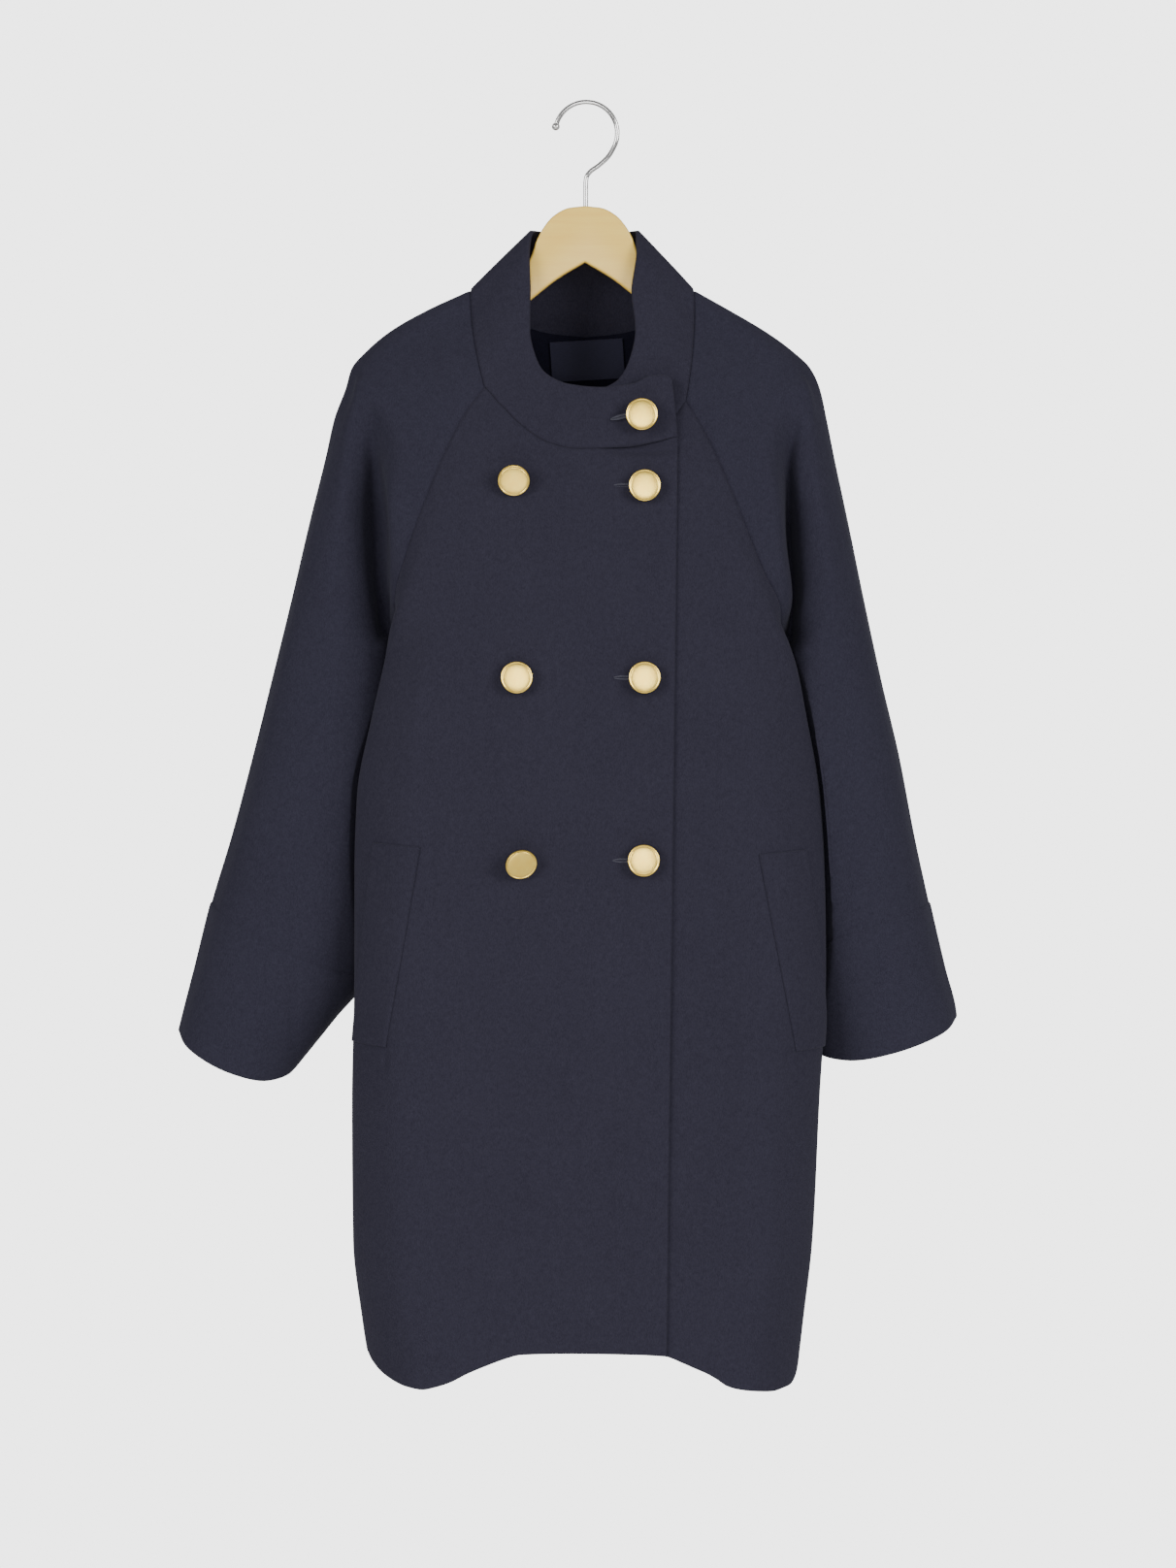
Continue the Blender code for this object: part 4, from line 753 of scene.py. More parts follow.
@dataclass
class ClothShell:
    """A panel of cloth as a thin closed shell on its outer points."""

    name: str
    grid: np.ndarray
    inside: np.ndarray
    thickness: float
    edges: tuple[Edge, Edge, Edge, Edge]
    lift: float = 0.0
    wraps: bool = False
    creases: tuple[Crease, ...] = ()
    normal: np.ndarray | None = None

    RIM_STEPS = (0.3, 0.8, 1.5, 2.6)
    RIM_ROOM = 0.85
    SEAM_WIDTH = 2.6
    SEAM_DEPTH = 1.15
    SEAM_SHAPE = 1.6
    FOLD_SHARE = 0.62

    def __post_init__(self) -> None:
        """Add close rows and columns of points beside the edges, and work out the normals."""
        both = np.concatenate([self.grid, self.inside], axis=2)
        for axis in (0,) if self.wraps else (0, 1):
            both = self._with_rims(both, axis)
        self.grid, self.inside = both[..., :3], both[..., 3:]
        self.normal = self._normals()

    def _with_rims(self, both: np.ndarray, axis: int) -> np.ndarray:
        """Points and inner points with extra lines of them close to the two edges across an axis.

        Args:
            both: Each point with its inner point, as six numbers.
            axis: The axis that the edges lie across.

        Returns:
            The same with the extra lines.
        """
        lines = np.moveaxis(both, axis, 0)
        head, tail = [], []
        for steps, end, beside in ((head, lines[0], lines[1]), (tail, lines[-1], lines[-2])):
            spacing = np.linalg.norm(beside[:, :3] - end[:, :3], axis=1).mean()
            steps.extend(end + (beside - end) * (step / spacing)
                         for step in self.RIM_STEPS if step < self.RIM_ROOM * spacing)
        lines = np.array([lines[0], *head, *lines[1:-1], *tail[::-1], lines[-1]])
        return np.moveaxis(lines, 0, axis)

    def _normals(self) -> np.ndarray:
        """Sums of the unit normals round each point, pointing out of the cloth.

        Returns:
            The sum at each point.
        """
        grid, inside = self.grid, self.inside
        if self.wraps:
            grid = np.concatenate([grid, grid[:, :1]], axis=1)
            inside = np.concatenate([inside, inside[:, :1]], axis=1)
        patch = np.cross(grid[1:, 1:] - grid[:-1, :-1], grid[1:, :-1] - grid[:-1, 1:])
        patch /= np.linalg.norm(patch, axis=2, keepdims=True) + 1e-12
        total = np.zeros_like(grid)
        for rows in (slice(1, None), slice(None, -1)):
            for columns in (slice(1, None), slice(None, -1)):
                total[rows, columns] += patch
        total *= np.sign(np.sum(total * (grid - inside)))
        if self.wraps:
            total[:, 0] += total[:, -1]
            total = total[:, :-1]
        return total

    def rim(self) -> list[tuple[int, int]]:
        """Row and column of each point on the panel's edges.

        Returns:
            The places, with the first and last rows first.
        """
        rows, columns = self.grid.shape[:2]
        places = [(row, column) for row in (0, rows - 1) for column in range(columns)]
        if not self.wraps:
            places += [(row, column) for row in range(1, rows - 1) for column in (0, columns - 1)]
        return places

    def _fall(self) -> np.ndarray:
        """How far the outer face sinks towards the panel's edges.

        Returns:
            The depth at each point.
        """
        fall = np.zeros(self.grid.shape[:2])
        for edge, (axis, reverse) in zip(self.edges, ((0, False), (0, True), (1, False), (1, True))):
            if edge is Edge.PLAIN or (axis == 1 and self.wraps):
                continue
            lines = np.moveaxis(self.grid, axis, 0)
            lines = lines[::-1] if reverse else lines
            steps = np.linalg.norm(np.diff(lines, axis=0), axis=2)
            away = np.concatenate([np.zeros((1, lines.shape[1])), np.cumsum(steps, axis=0)])
            if edge is Edge.SEAM:
                near = np.clip(1.0 - away / self.SEAM_WIDTH, 0.0, 1.0)
                sink = self.SEAM_DEPTH * near ** self.SEAM_SHAPE
            else:
                radius = self.thickness * self.FOLD_SHARE
                inner = np.clip(1.0 - away / radius, 0.0, 1.0)
                sink = radius * (1.0 - np.sqrt(1.0 - inner ** 2))
            sink = sink[::-1] if reverse else sink
            fall = np.maximum(fall, np.moveaxis(sink, 0, axis))
        return fall

    def build(self, finish: bpy.types.Material) -> bpy.types.Object:
        """Make the shell's mesh.

        Args:
            finish: Its material.

        Returns:
            The new object.
        """
        length = np.linalg.norm(self.normal, axis=2, keepdims=True) + 1e-9
        normal = self.normal / length
        settle = sum((crease.push(self.grid) for crease in self.creases), np.zeros(length.shape[:2]))
        push = self._fall() + settle
        outer = self.grid + normal * (self.lift - push[..., None])
        inner = self.grid + normal * (self.lift - self.thickness - settle[..., None])
        rows, columns = self.grid.shape[:2]
        count = rows * columns
        points = np.concatenate([outer.reshape(-1, 3), inner.reshape(-1, 3)])
        index = np.arange(count).reshape(rows, columns)
        if self.wraps:
            index = np.concatenate([index, index[:, :1]], axis=1)
        a, b, c, d = index[:-1, :-1], index[:-1, 1:], index[1:, 1:], index[1:, :-1]
        face = np.stack([a, b, c, d], axis=-1).reshape(-1, 4)
        faces = [face, face[:, ::-1] + count]
        for line, turn in ((index[0], 1), (index[-1], -1)):
            faces.append(self._strip(line[::turn], count))
        if not self.wraps:
            faces.append(self._strip(index[::-1, 0], count))
            faces.append(self._strip(index[:, -1], count))
        return new_mesh(self.name, points, np.concatenate(faces), finish)

    def _strip(self, line: np.ndarray, count: int) -> np.ndarray:
        """Faces that join the outer and inner faces along one edge."""
        return np.stack([line[1:], line[:-1], line[:-1] + count, line[1:] + count], axis=-1)

    def area(self) -> float:
        """Area of the outer face in square metres.

        Returns:
            The area.
        """
        grid = np.concatenate([self.grid, self.grid[:, :1]], axis=1) if self.wraps else self.grid
        cross = np.cross(grid[1:, 1:] - grid[:-1, :-1], grid[1:, :-1] - grid[:-1, 1:])
        return float(np.linalg.norm(cross, axis=2).sum() / 2 * 1e-6)


def new_mesh(name: str, points: np.ndarray, faces: np.ndarray | list, finish: bpy.types.Material,
             angle: float = 50.0) -> bpy.types.Object:
    """A smooth-shaded object from points in millimetres with drops.

    Args:
        name: The object's name.
        points: X, Y and drop of each point.
        faces: Point numbers of each face.
        finish: Its material.
        angle: Edges sharper than this many degrees stay sharp.

    Returns:
        The new object.
    """
    mesh = bpy.data.meshes.new(name)
    placed = np.asarray(points, dtype=float) * np.array([MM, MM, -MM])
    mesh.from_pydata(placed.tolist(), [], [list(map(int, face)) for face in faces])
    body = bmesh.new()
    body.from_mesh(mesh)
    bmesh.ops.recalc_face_normals(body, faces=body.faces)
    body.to_mesh(mesh)
    body.free()
    mesh.materials.append(finish)
    mesh.shade_smooth()
    mesh.set_sharp_from_angle(angle=math.radians(angle))
    thing = bpy.data.objects.new(name, mesh)
    bpy.context.collection.objects.link(thing)
    return thing


def join_meshes(name: str, parts: list[tuple[np.ndarray, np.ndarray]], finish: bpy.types.Material,
                angle: float = 50.0) -> bpy.types.Object:
    """One object from several sets of points and faces.

    Args:
        name: The object's name.
        parts: Points and faces of each part, in millimetres with drops.
        finish: Its material.
        angle: Edges sharper than this many degrees stay sharp.

    Returns:
        The new object.
    """
    points: list[np.ndarray] = []
    faces: list[list[int]] = []
    base = 0
    for part_points, part_faces in parts:
        points.append(part_points)
        faces.extend([[int(k) + base for k in face] for face in part_faces])
        base += len(part_points)
    return new_mesh(name, np.concatenate(points), faces, finish, angle)


def tube(path: np.ndarray, radii: np.ndarray | float, sides: int) -> tuple[np.ndarray, list]:
    """A closed round tube along a path.

    Args:
        path: Points along its centre line.
        radii: Its radius, one value or one for each point.
        sides: Points round it.

    Returns:
        Its points and faces.
    """
    way = np.gradient(path, axis=0)
    way /= np.linalg.norm(way, axis=1, keepdims=True)
    side = np.cross(way, np.array([0.0, 1.0, 0.0]))
    side /= np.linalg.norm(side, axis=1, keepdims=True) + 1e-9
    up = np.cross(side, way)
    angle = np.linspace(0.0, 2.0 * math.pi, sides, endpoint=False)
    size = np.broadcast_to(np.asarray(radii, dtype=float), (len(path),))[:, None, None]
    ring = side[:, None] * np.cos(angle)[None, :, None] + up[:, None] * np.sin(angle)[None, :, None]
    points = (path[:, None] + ring * size).reshape(-1, 3)
    faces = [[k * sides + j, k * sides + (j + 1) % sides,
              (k + 1) * sides + (j + 1) % sides, (k + 1) * sides + j]
             for k in range(len(path) - 1) for j in range(sides)]
    last = (len(path) - 1) * sides
    faces += [list(range(sides))[::-1], [last + j for j in range(sides)]]
    return points, faces


# ------------------------------------------------------------------ finishes

class Nodes:
    """A material's node tree, built one node at a time."""

    def __init__(self, name: str) -> None:
        """Start a material with only its shader.

        Args:
            name: The material's name.
        """
        self.material = bpy.data.materials.new(name)
        self.material.use_nodes = True
        self.tree = self.material.node_tree
        self.shader = self.tree.nodes["Principled BSDF"]
        place = self.add("ShaderNodeTexCoord")
        self.place = place.outputs["Object"]

    def add(self, kind: str, **values: object) -> bpy.types.Node:
        """Add a node and set its named properties.

        Args:
            kind: The node's type.
            values: Its properties.

        Returns:
            The node.
        """
        node = self.tree.nodes.new(kind)
        for name, value in values.items():
            setattr(node, name, value)
        return node

    def link(self, out: bpy.types.NodeSocket, into: bpy.types.NodeSocket) -> None:
        """Join two sockets."""
        self.tree.links.new(out, into)

    def stretch(self, scale: Rgb, turn: Rgb = (0.0, 0.0, 0.0)) -> bpy.types.NodeSocket:
        """Object coordinates scaled and turned.

        Args:
            scale: Scale along each axis.
            turn: Turn about each axis in radians.

        Returns:
            The socket of the coordinates.
        """
        node = self.add("ShaderNodeMapping")
        node.inputs["Scale"].default_value = scale
        node.inputs["Rotation"].default_value = turn
        self.link(self.place, node.inputs["Vector"])
        return node.outputs["Vector"]

    def noise(self, scale: float, detail: float = 3.0, rough: float = 0.55,
              vector: bpy.types.NodeSocket | None = None) -> bpy.types.NodeSocket:
        """A noise pattern with about `scale` grains a metre.

        Args:
            scale: Its scale.
            detail: Its detail.
            rough: Its roughness.
            vector: Where it reads its coordinates, the object's own if None.

        Returns:
            The socket of its value.
        """
        node = self.add("ShaderNodeTexNoise")
        node.inputs["Scale"].default_value = scale
        node.inputs["Detail"].default_value = detail
        node.inputs["Roughness"].default_value = rough
        self.link(vector or self.place, node.inputs["Vector"])
        return node.outputs["Fac"]

    def ramp(self, value: bpy.types.NodeSocket, stops: list[tuple[float, Rgb]]) -> bpy.types.NodeSocket:
        """Colours for a value.

        Args:
            value: The value to read.
            stops: Places and their colours.

        Returns:
            The socket of the colour.
        """
        node = self.add("ShaderNodeValToRGB")
        band = node.color_ramp
        while len(band.elements) < len(stops):
            band.elements.new(0.5)
        for element, (place, colour) in zip(band.elements, stops):
            element.position = place
            element.color = (*colour, 1.0)
        self.link(value, node.inputs["Fac"])
        return node.outputs["Color"]

    def level(self, value: bpy.types.NodeSocket, low: float, high: float) -> bpy.types.NodeSocket:
        """A value stretched from the range low to high to the range 0 to 1.

        Args:
            value: The value to read.
            low: What becomes 0.
            high: What becomes 1.

        Returns:
            The socket of the result.
        """
        node = self.add("ShaderNodeMapRange")
        node.inputs["From Min"].default_value = low
        node.inputs["From Max"].default_value = high
        self.link(value, node.inputs["Value"])
        return node.outputs["Result"]

    def paint(self, value: bpy.types.NodeSocket, stops: list[tuple[float, Rgb]]) -> None:
        """Give the shader its base colour from a value's ramp."""
        self.link(self.ramp(value, stops), self.shader.inputs["Base Color"])

    def sum(self, first: bpy.types.NodeSocket, second: bpy.types.NodeSocket,
            share: float) -> bpy.types.NodeSocket:
        """The first value plus `share` of the second.

        Args:
            first: The first value.
            second: The second value.
            share: How much of the second.

        Returns:
            The socket of the sum.
        """
        node = self.add("ShaderNodeMath", operation="MULTIPLY_ADD")
        self.link(second, node.inputs[0])
        node.inputs[1].default_value = share
        self.link(first, node.inputs[2])
        return node.outputs[0]

    def bump(self, height: bpy.types.NodeSocket, strength: float, distance: float) -> None:
        """Raise the surface by a height in metres times distance.

        Args:
            height: The height's socket.
            strength: How strongly it shows.
            distance: Metres for a height of 1.
        """
        node = self.add("ShaderNodeBump")
        node.inputs["Strength"].default_value = strength
        node.inputs["Distance"].default_value = distance
        self.link(height, node.inputs["Height"])
        self.link(node.outputs["Normal"], self.shader.inputs["Normal"])

    def set(self, **values: float | tuple) -> None:
        """Set the shader's own sockets by name, with _ for a space."""
        for name, value in values.items():
            socket = self.shader.inputs[name.replace("_", " ")]
            socket.default_value = (*value, 1.0) if isinstance(value, tuple) else value


@dataclass(frozen=True)
class WoolFinish:
    """Felted wool melton: fine fibres that mostly lie downwards, in a faint bluish mottle."""

    name: str
    low: Rgb
    high: Rgb
    sheen: float = 0.05
    grain: float = 0.30
    tone_range: tuple[float, float] = (1.02, 1.62)
    fibre_scale: float = 1250.0
    cross_scale: float = 1050.0
    tuft_scale: float = 230.0
    mottle_scale: float = 14.0

    def build(self) -> bpy.types.Material:
        """Make the material.

        Returns:
            The material.
        """
        nodes = Nodes(self.name)
        fibre = nodes.noise(self.fibre_scale, 5.0, 0.7, nodes.stretch((1.0, 1.0, 0.38), (0.0, 0.30, 0.0)))
        cross = nodes.noise(self.cross_scale, 5.0, 0.7, nodes.stretch((1.0, 1.0, 0.42), (0.0, -0.42, 0.0)))
        tufts = nodes.noise(self.tuft_scale, 3.0, 0.6)
        broad = nodes.noise(self.mottle_scale, 2.0, 0.5)
        nap = nodes.sum(fibre, cross, 1.0)
        tone = nodes.sum(nodes.sum(nap, tufts, 0.5), broad, 0.16)
        nodes.paint(nodes.level(tone, *self.tone_range), [(0.0, self.low), (1.0, self.high)])
        nodes.set(Roughness=0.95, Sheen_Weight=self.sheen, Sheen_Roughness=0.5,
                  Sheen_Tint=(0.70, 0.70, 0.85), Specular_IOR_Level=0.12)
        nodes.bump(nodes.sum(nap, tufts, 0.6), self.grain, 0.0005)
        return nodes.material


@dataclass(frozen=True)
class ThreadFinish:
    """Twisted sewing thread."""

    name: str
    colour: Rgb

    def build(self) -> bpy.types.Material:
        """Make the material.

        Returns:
            The material.
        """
        nodes = Nodes(self.name)
        twist = nodes.noise(2600.0, 2.0)
        low = tuple(0.7 * value for value in self.colour)
        nodes.paint(twist, [(0.3, low), (0.7, self.colour)])
        nodes.set(Roughness=0.6, Sheen_Weight=0.2, Sheen_Roughness=0.4)
        nodes.bump(twist, 0.3, 0.0002)
        return nodes.material


@dataclass(frozen=True)
class LabelFinish:
    """Fine woven satin."""

    name: str
    colour: Rgb

    def build(self) -> bpy.types.Material:
        """Make the material.

        Returns:
            The material.
        """
        nodes = Nodes(self.name)
        weave = nodes.noise(3000.0, 2.0, 0.5, nodes.stretch((0.12, 1.0, 1.0)))
        low = tuple(0.75 * value for value in self.colour)
        nodes.paint(weave, [(0.3, low), (0.7, self.colour)])
        nodes.set(Roughness=0.6, Sheen_Weight=0.05, Specular_IOR_Level=0.2)
        nodes.bump(weave, 0.25, 0.0002)
        return nodes.material


@dataclass(frozen=True)
class SatinGoldFinish:
    """Satin gold plate with a faint brushed grain."""

    name: str
    colour: Rgb
    deep: Rgb
    roughness: float = 0.30

    def build(self) -> bpy.types.Material:
        """Make the material.

        Returns:
            The material.
        """
        nodes = Nodes(self.name)
        cloud = nodes.noise(160.0, 2.0)
        brush = nodes.noise(2400.0, 3.0, 0.6, nodes.stretch((1.0, 1.0, 0.2)))
        nodes.paint(cloud, [(0.3, self.deep), (0.75, self.colour)])
        nodes.set(Metallic=1.0, Roughness=self.roughness)
        nodes.bump(brush, 0.12, 0.0002)
        return nodes.material


@dataclass(frozen=True)
class WoodFinish:
    """Light close-grained wood under satin lacquer, its grain across the hanger."""

    name: str
    light: Rgb
    dark: Rgb
    tone_range: tuple[float, float] = (0.5, 0.85)

    def build(self) -> bpy.types.Material:
        """Make the material.

        Returns:
            The material.
        """
        nodes = Nodes(self.name)
        line = nodes.noise(55.0, 5.0, 0.6, nodes.stretch((0.22, 1.0, 3.2), (0.0, 0.06, 0.0)))
        pore = nodes.noise(420.0, 4.0, 0.7, nodes.stretch((0.06, 1.0, 2.0)))
        tone = nodes.sum(line, pore, 0.35)
        nodes.paint(nodes.level(tone, *self.tone_range), [(0.0, self.dark), (1.0, self.light)])
        nodes.set(Roughness=0.40, Coat_Weight=0.5, Coat_Roughness=0.25, Specular_IOR_Level=0.5)
        nodes.bump(pore, 0.10, 0.0003)
        return nodes.material


@dataclass(frozen=True)
class WireFinish:
    """Polished plated steel wire."""

    name: str
    colour: Rgb

    def build(self) -> bpy.types.Material:
        """Make the material.

        Returns:
            The material.
        """
        nodes = Nodes(self.name)
        haze = nodes.noise(260.0, 2.0)
        dim = tuple(0.85 * value for value in self.colour)
        nodes.paint(haze, [(0.35, dim), (0.7, self.colour)])
        nodes.set(Metallic=1.0, Roughness=0.14)
        return nodes.material


@dataclass(frozen=True)
class PaperFinish:
    """The studio's plain pale floor."""

    name: str
    colour: Rgb

    def build(self) -> bpy.types.Material:
        """Make the material.

        Returns:
            The material.
        """
        nodes = Nodes(self.name)
        nodes.set(Base_Color=self.colour, Roughness=0.9, Specular_IOR_Level=0.1)
        return nodes.material


@dataclass(frozen=True)
class GlowFinish:
    """The studio's evenly lit backdrop."""

    name: str
    colour: Rgb
    strength: float

    def build(self) -> bpy.types.Material:
        """Make the material.

        Returns:
            The material.
        """
        nodes = Nodes(self.name)
        nodes.set(Base_Color=(0.0, 0.0, 0.0), Roughness=1.0, Specular_IOR_Level=0.0,
                  Emission_Color=self.colour, Emission_Strength=self.strength)
        return nodes.material


# ------------------------------------------------------------------ the pieces

@dataclass
class Panels:
    """The fronts, back, sleeves, cuffs and collar as cloth shells that share their seams."""

    form: CoatForm
    cloth: float = 2.4
    collar_cloth: float = 3.2
    cuff_cloth: float = 3.4
    cuff_proud: float = 1.2
    weld: float = 3.0
    least_normal: float = 0.2
    arm_axis_y: float = 18.0
    tab_lift: Crease = Crease(((22, 303), (50, 303), (80, 299)), 3.6, -2.3)
    right_sleeve_valley: Crease = Crease(
        ((-184, 312), (-180, 345), (-178, 389), (-177, 430), (-178, 476)), 4.6, 7.0)
    creases: tuple[Crease, ...] = (
        Crease(((12, 309), (50, 310), (92, 306)), 4.6, 4.8),
        Crease(((-141, 656), (-141, 600), (-138, 545), (-130, 500)), 7.0, 1.3),
        Crease(((-196, 430), (-205, 520), (-222, 620), (-236, 700)), 14.0, 2.0),
        Crease(((-255.5, 738), (-256, 790), (-257, 846)), 4.0, 1.3),
        Crease(((76, 322), (74, 500), (72, 800), (66, 1098)), 3.2, -0.7),
        Crease(((174, 838), (179, 846), (183, 852)), 2.4, 1.4),
        Crease(((-173, 826), (-174, 840), (-175, 852)), 2.4, 1.4),
        Crease(((-60, 690), (-66, 860), (-70, 1080)), 22.0, 1.6),
        Crease(((12, 720), (8, 900), (4, 1085)), 26.0, 1.3),
        Crease(((112, 690), (118, 860), (112, 1090)), 20.0, 1.8),
        Crease(((118, 400), (122, 470), (121, 560)), 11.0, 1.2),
        Crease(((-104, 350), (-112, 430), (-114, 520)), 12.0, 1.0),
        Crease(((214, 420), (225, 520), (240, 640)), 13.0, 1.8),
        Crease(((262, 300), (280, 420), (300, 520)), 10.0, 1.2),
        Crease(((-70, 330), (-58, 520), (-64, 760)), 16.0, 2.0, True),
        Crease(((52, 340), (66, 560), (60, 800)), 16.0, 2.0, True),
        Crease(((-190, 400), (-214, 520), (-236, 660)), 13.0, 2.2, True),
        Crease(((190, 400), (212, 520), (232, 660)), 13.0, 2.2, True),
    )
    flats: dict[str, tuple[float, float]] = field(default_factory=lambda: {
        "front_right": (0.41, 0.92), "front_left": (0.41, 0.92), "back": (0.62, 0.96),
        "sleeve_front_right": (0.30, 0.74), "sleeve_front_left": (0.28, 0.74),
        "sleeve_back_right": (0.30, 0.74), "sleeve_back_left": (0.28, 0.74),
        "cuff_right": (0.40, 0.16), "cuff_left": (0.40, 0.16), "stand_collar": (0.56, 0.13)})

    def arm_axis(self, grid: np.ndarray) -> np.ndarray:
        """Points inside the sleeve beside each point of its grid.

        Args:
            grid: The sleeve half's outer points.

        Returns:
            One inner point for each of them.
        """
        inside = np.repeat((grid[:, :1] + grid[:, -1:]) / 2, grid.shape[1], axis=1)
        inside[:, :, 1] = self.arm_axis_y
        return inside

    def shells(self) -> list[ClothShell]:
        """Every panel, with its edges' kinds in the order top, bottom, first side, last side.

        Returns:
            The panels, not yet built.
        """
        form = self.form
        seam, fold = Edge.SEAM, Edge.FOLD
        grids = {"front_right": form.front_grid(Side.RIGHT), "front_left": form.front_grid(Side.LEFT),
                 "back": form.back_grid()}
        for side in Side:
            for half in Half:
                grids[f"sleeve_{half.value}_{side.word}"] = form.sleeve_grid(side, half)
        shells = [
            ClothShell("front_right", grids["front_right"], middle_line(grids["front_right"]),
                       self.cloth, (seam, fold, fold, seam), creases=self.creases),
            ClothShell("front_left", grids["front_left"], middle_line(grids["front_left"]),
                       self.cloth, (seam, fold, fold, seam), creases=self.creases),
            ClothShell("back", grids["back"], middle_line(grids["back"]),
                       self.cloth, (seam, fold, seam, seam), creases=self.creases),
        ]
        for side in Side:
            for half in Half:
                name = f"sleeve_{half.value}_{side.word}"
                deep = (self.right_sleeve_valley,) if name == "sleeve_front_right" else ()
                shells.append(ClothShell(name, grids[name], self.arm_axis(grids[name]), self.cloth,
                                         (seam, Edge.PLAIN, seam, Edge.PLAIN), creases=self.creases + deep))
            grid = form.cuff_grid(side)
            centre = np.repeat(grid.mean(axis=1, keepdims=True), grid.shape[1], axis=1)
            shells.append(ClothShell(f"cuff_{side.word}", grid, centre, self.cuff_cloth,
                                     (seam, fold, Edge.PLAIN, Edge.PLAIN), self.cuff_proud, True,
                                     self.creases))
        grid = form.collar_grid(grids)
        shells.append(ClothShell("stand_collar", grid, middle_line(grid), self.collar_cloth,
                                 (fold, seam, fold, fold), self.collar_cloth - self.cloth,
                                 creases=(self.tab_lift,)))
        return shells

    def share_seams(self, shells: list[ClothShell]) -> None:
        """Give the points on both sides of each seam one normal.

        Args:
            shells: The panels, whose normals are changed.
        """
        rims = [(number, *place) for number, shell in enumerate(shells) for place in shell.rim()]
        tree = KDTree(len(rims))
        for key, (number, row, column) in enumerate(rims):
            tree.insert(Vector(shells[number].grid[row, column]), key)
        tree.balance()
        own = [shells[number].normal[row, column].copy() for number, row, column in rims]
        for key, (number, row, column) in enumerate(rims):
            nearest: dict[int, tuple[float, int]] = {}
            for _, other, away in tree.find_range(Vector(shells[number].grid[row, column]), self.weld):
                owner = rims[other][0]
                if owner != number and away < nearest.get(owner, (1e9, 0))[0]:
                    nearest[owner] = (away, other)
            total = own[key] / (np.linalg.norm(own[key]) + 1e-9)
            for _, other in nearest.values():
                total = total + own[other] / (np.linalg.norm(own[other]) + 1e-9)
            if np.linalg.norm(total) > self.least_normal:
                shells[number].normal[row, column] = total

    def build(self, finishes: dict[str, bpy.types.Material]) -> None:
        """Make every panel.

        Args:
            finishes: The material for each kind of panel.
        """
        shells = self.shells()
        self.share_seams(shells)
        slots = {"front": "wool_front", "back": "wool_back", "sleeve": "wool_sleeve", "cuff": "wool_cuff",
                 "stand": "wool_collar"}
        for shell in shells:
            kind = shell.name.split("_")[0]
            node = shell.name
            shell.name = node + "_cloth"
            piece = shell.build(finishes[kind])
            add_piece(piece, slots[kind], node)
            shell.area()
            log.info("%s: %d points, area %.4f m2", node, len(piece.data.vertices), shell.area())


def add_piece(piece: bpy.types.Object, slot: str, *nodes: str) -> None:
    """Tie a piece to the coat's body and hide the nodes that it stands for.

    Args:
        piece: The finished object.
        slot: Name of the record's material slot; not used.
        nodes: The nodes it replaces.
    """
    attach(piece, "root")
    if nodes:
        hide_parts(*nodes)


@dataclass
class Pockets:
    """The slanted welts on the fronts."""

    form: CoatForm
    top: dict[Side, float] = field(default_factory=lambda: {Side.RIGHT: 652.0, Side.LEFT: 658.0})
    bottom: dict[Side, float] = field(default_factory=lambda: {Side.RIGHT: 826.0, Side.LEFT: 830.0})
    inner: dict[Side, tuple[float, float]] = field(default_factory=lambda: {
        Side.RIGHT: (143.0, 173.0), Side.LEFT: (151.0, 184.0)})
    width: float = 46.0
    inner_fall: float = 4.0
    cloth: float = 2.6
    proud: float = 2.2
    line_down: float = 4.4
    flat: tuple[float, float] = (0.05, 0.19)
    rows: int = 144
    columns: int = 40
    samples: int = 241
    flat_samples: int = 160

    def grid(self, side: Side) -> np.ndarray:
        """Outer points of the front under a welt.

        Args:
            side: The wearer's side.

        Returns:
            Array of (rows, columns, 3).
        """
        fine = np.linspace(2.0, 5.0, self.samples)
        across = np.linspace(0.0, 1.0, self.columns + 1)
        rows = []
        for share in np.linspace(0.0, 1.0, self.rows + 1):
            inner_x = self.inner[side][0] + (self.inner[side][1] - self.inner[side][0]) * share
            level = self.top[side] + (self.bottom[side] - self.top[side]) * share
            line = self.form.front_point(side, fine, np.full_like(fine, level))
            length = length_along(line)
            start = np.interp(inner_x, np.abs(line[:self.flat_samples, 0]), length[:self.flat_samples])
            at = np.interp(start + self.width * across, length, fine)
            rows.append(self.form.front_point(side, at, level + self.inner_fall * (1.0 - across)))
        return np.array(rows)

    def _top_line(self, grid: np.ndarray) -> Crease:
        """The line pressed into a welt just below its top edge."""
        first, last = grid[0, 0], grid[0, -1]
        return Crease(((first[0], first[2] + self.line_down), (last[0], last[2] + self.line_down)), 1.2, 0.8)

    def build(self, finish: bpy.types.Material) -> None:
        """Make both welts.

        Args:
            finish: Their cloth.
        """
        for side in Side:
            grid = self.grid(side)
            shell = ClothShell(f"pocket_welt_{side.word}_cloth", grid, middle_line(grid), self.cloth,
                               (Edge.FOLD, Edge.FOLD, Edge.SEAM, Edge.FOLD), self.proud,
                               creases=(self._top_line(grid),))
            piece = shell.build(finish)
            add_piece(piece, "wool_welt", f"pocket_welt_{side.word}")
            shell.area()
            log.info("%s: area %.4f m2", piece.name, shell.area())


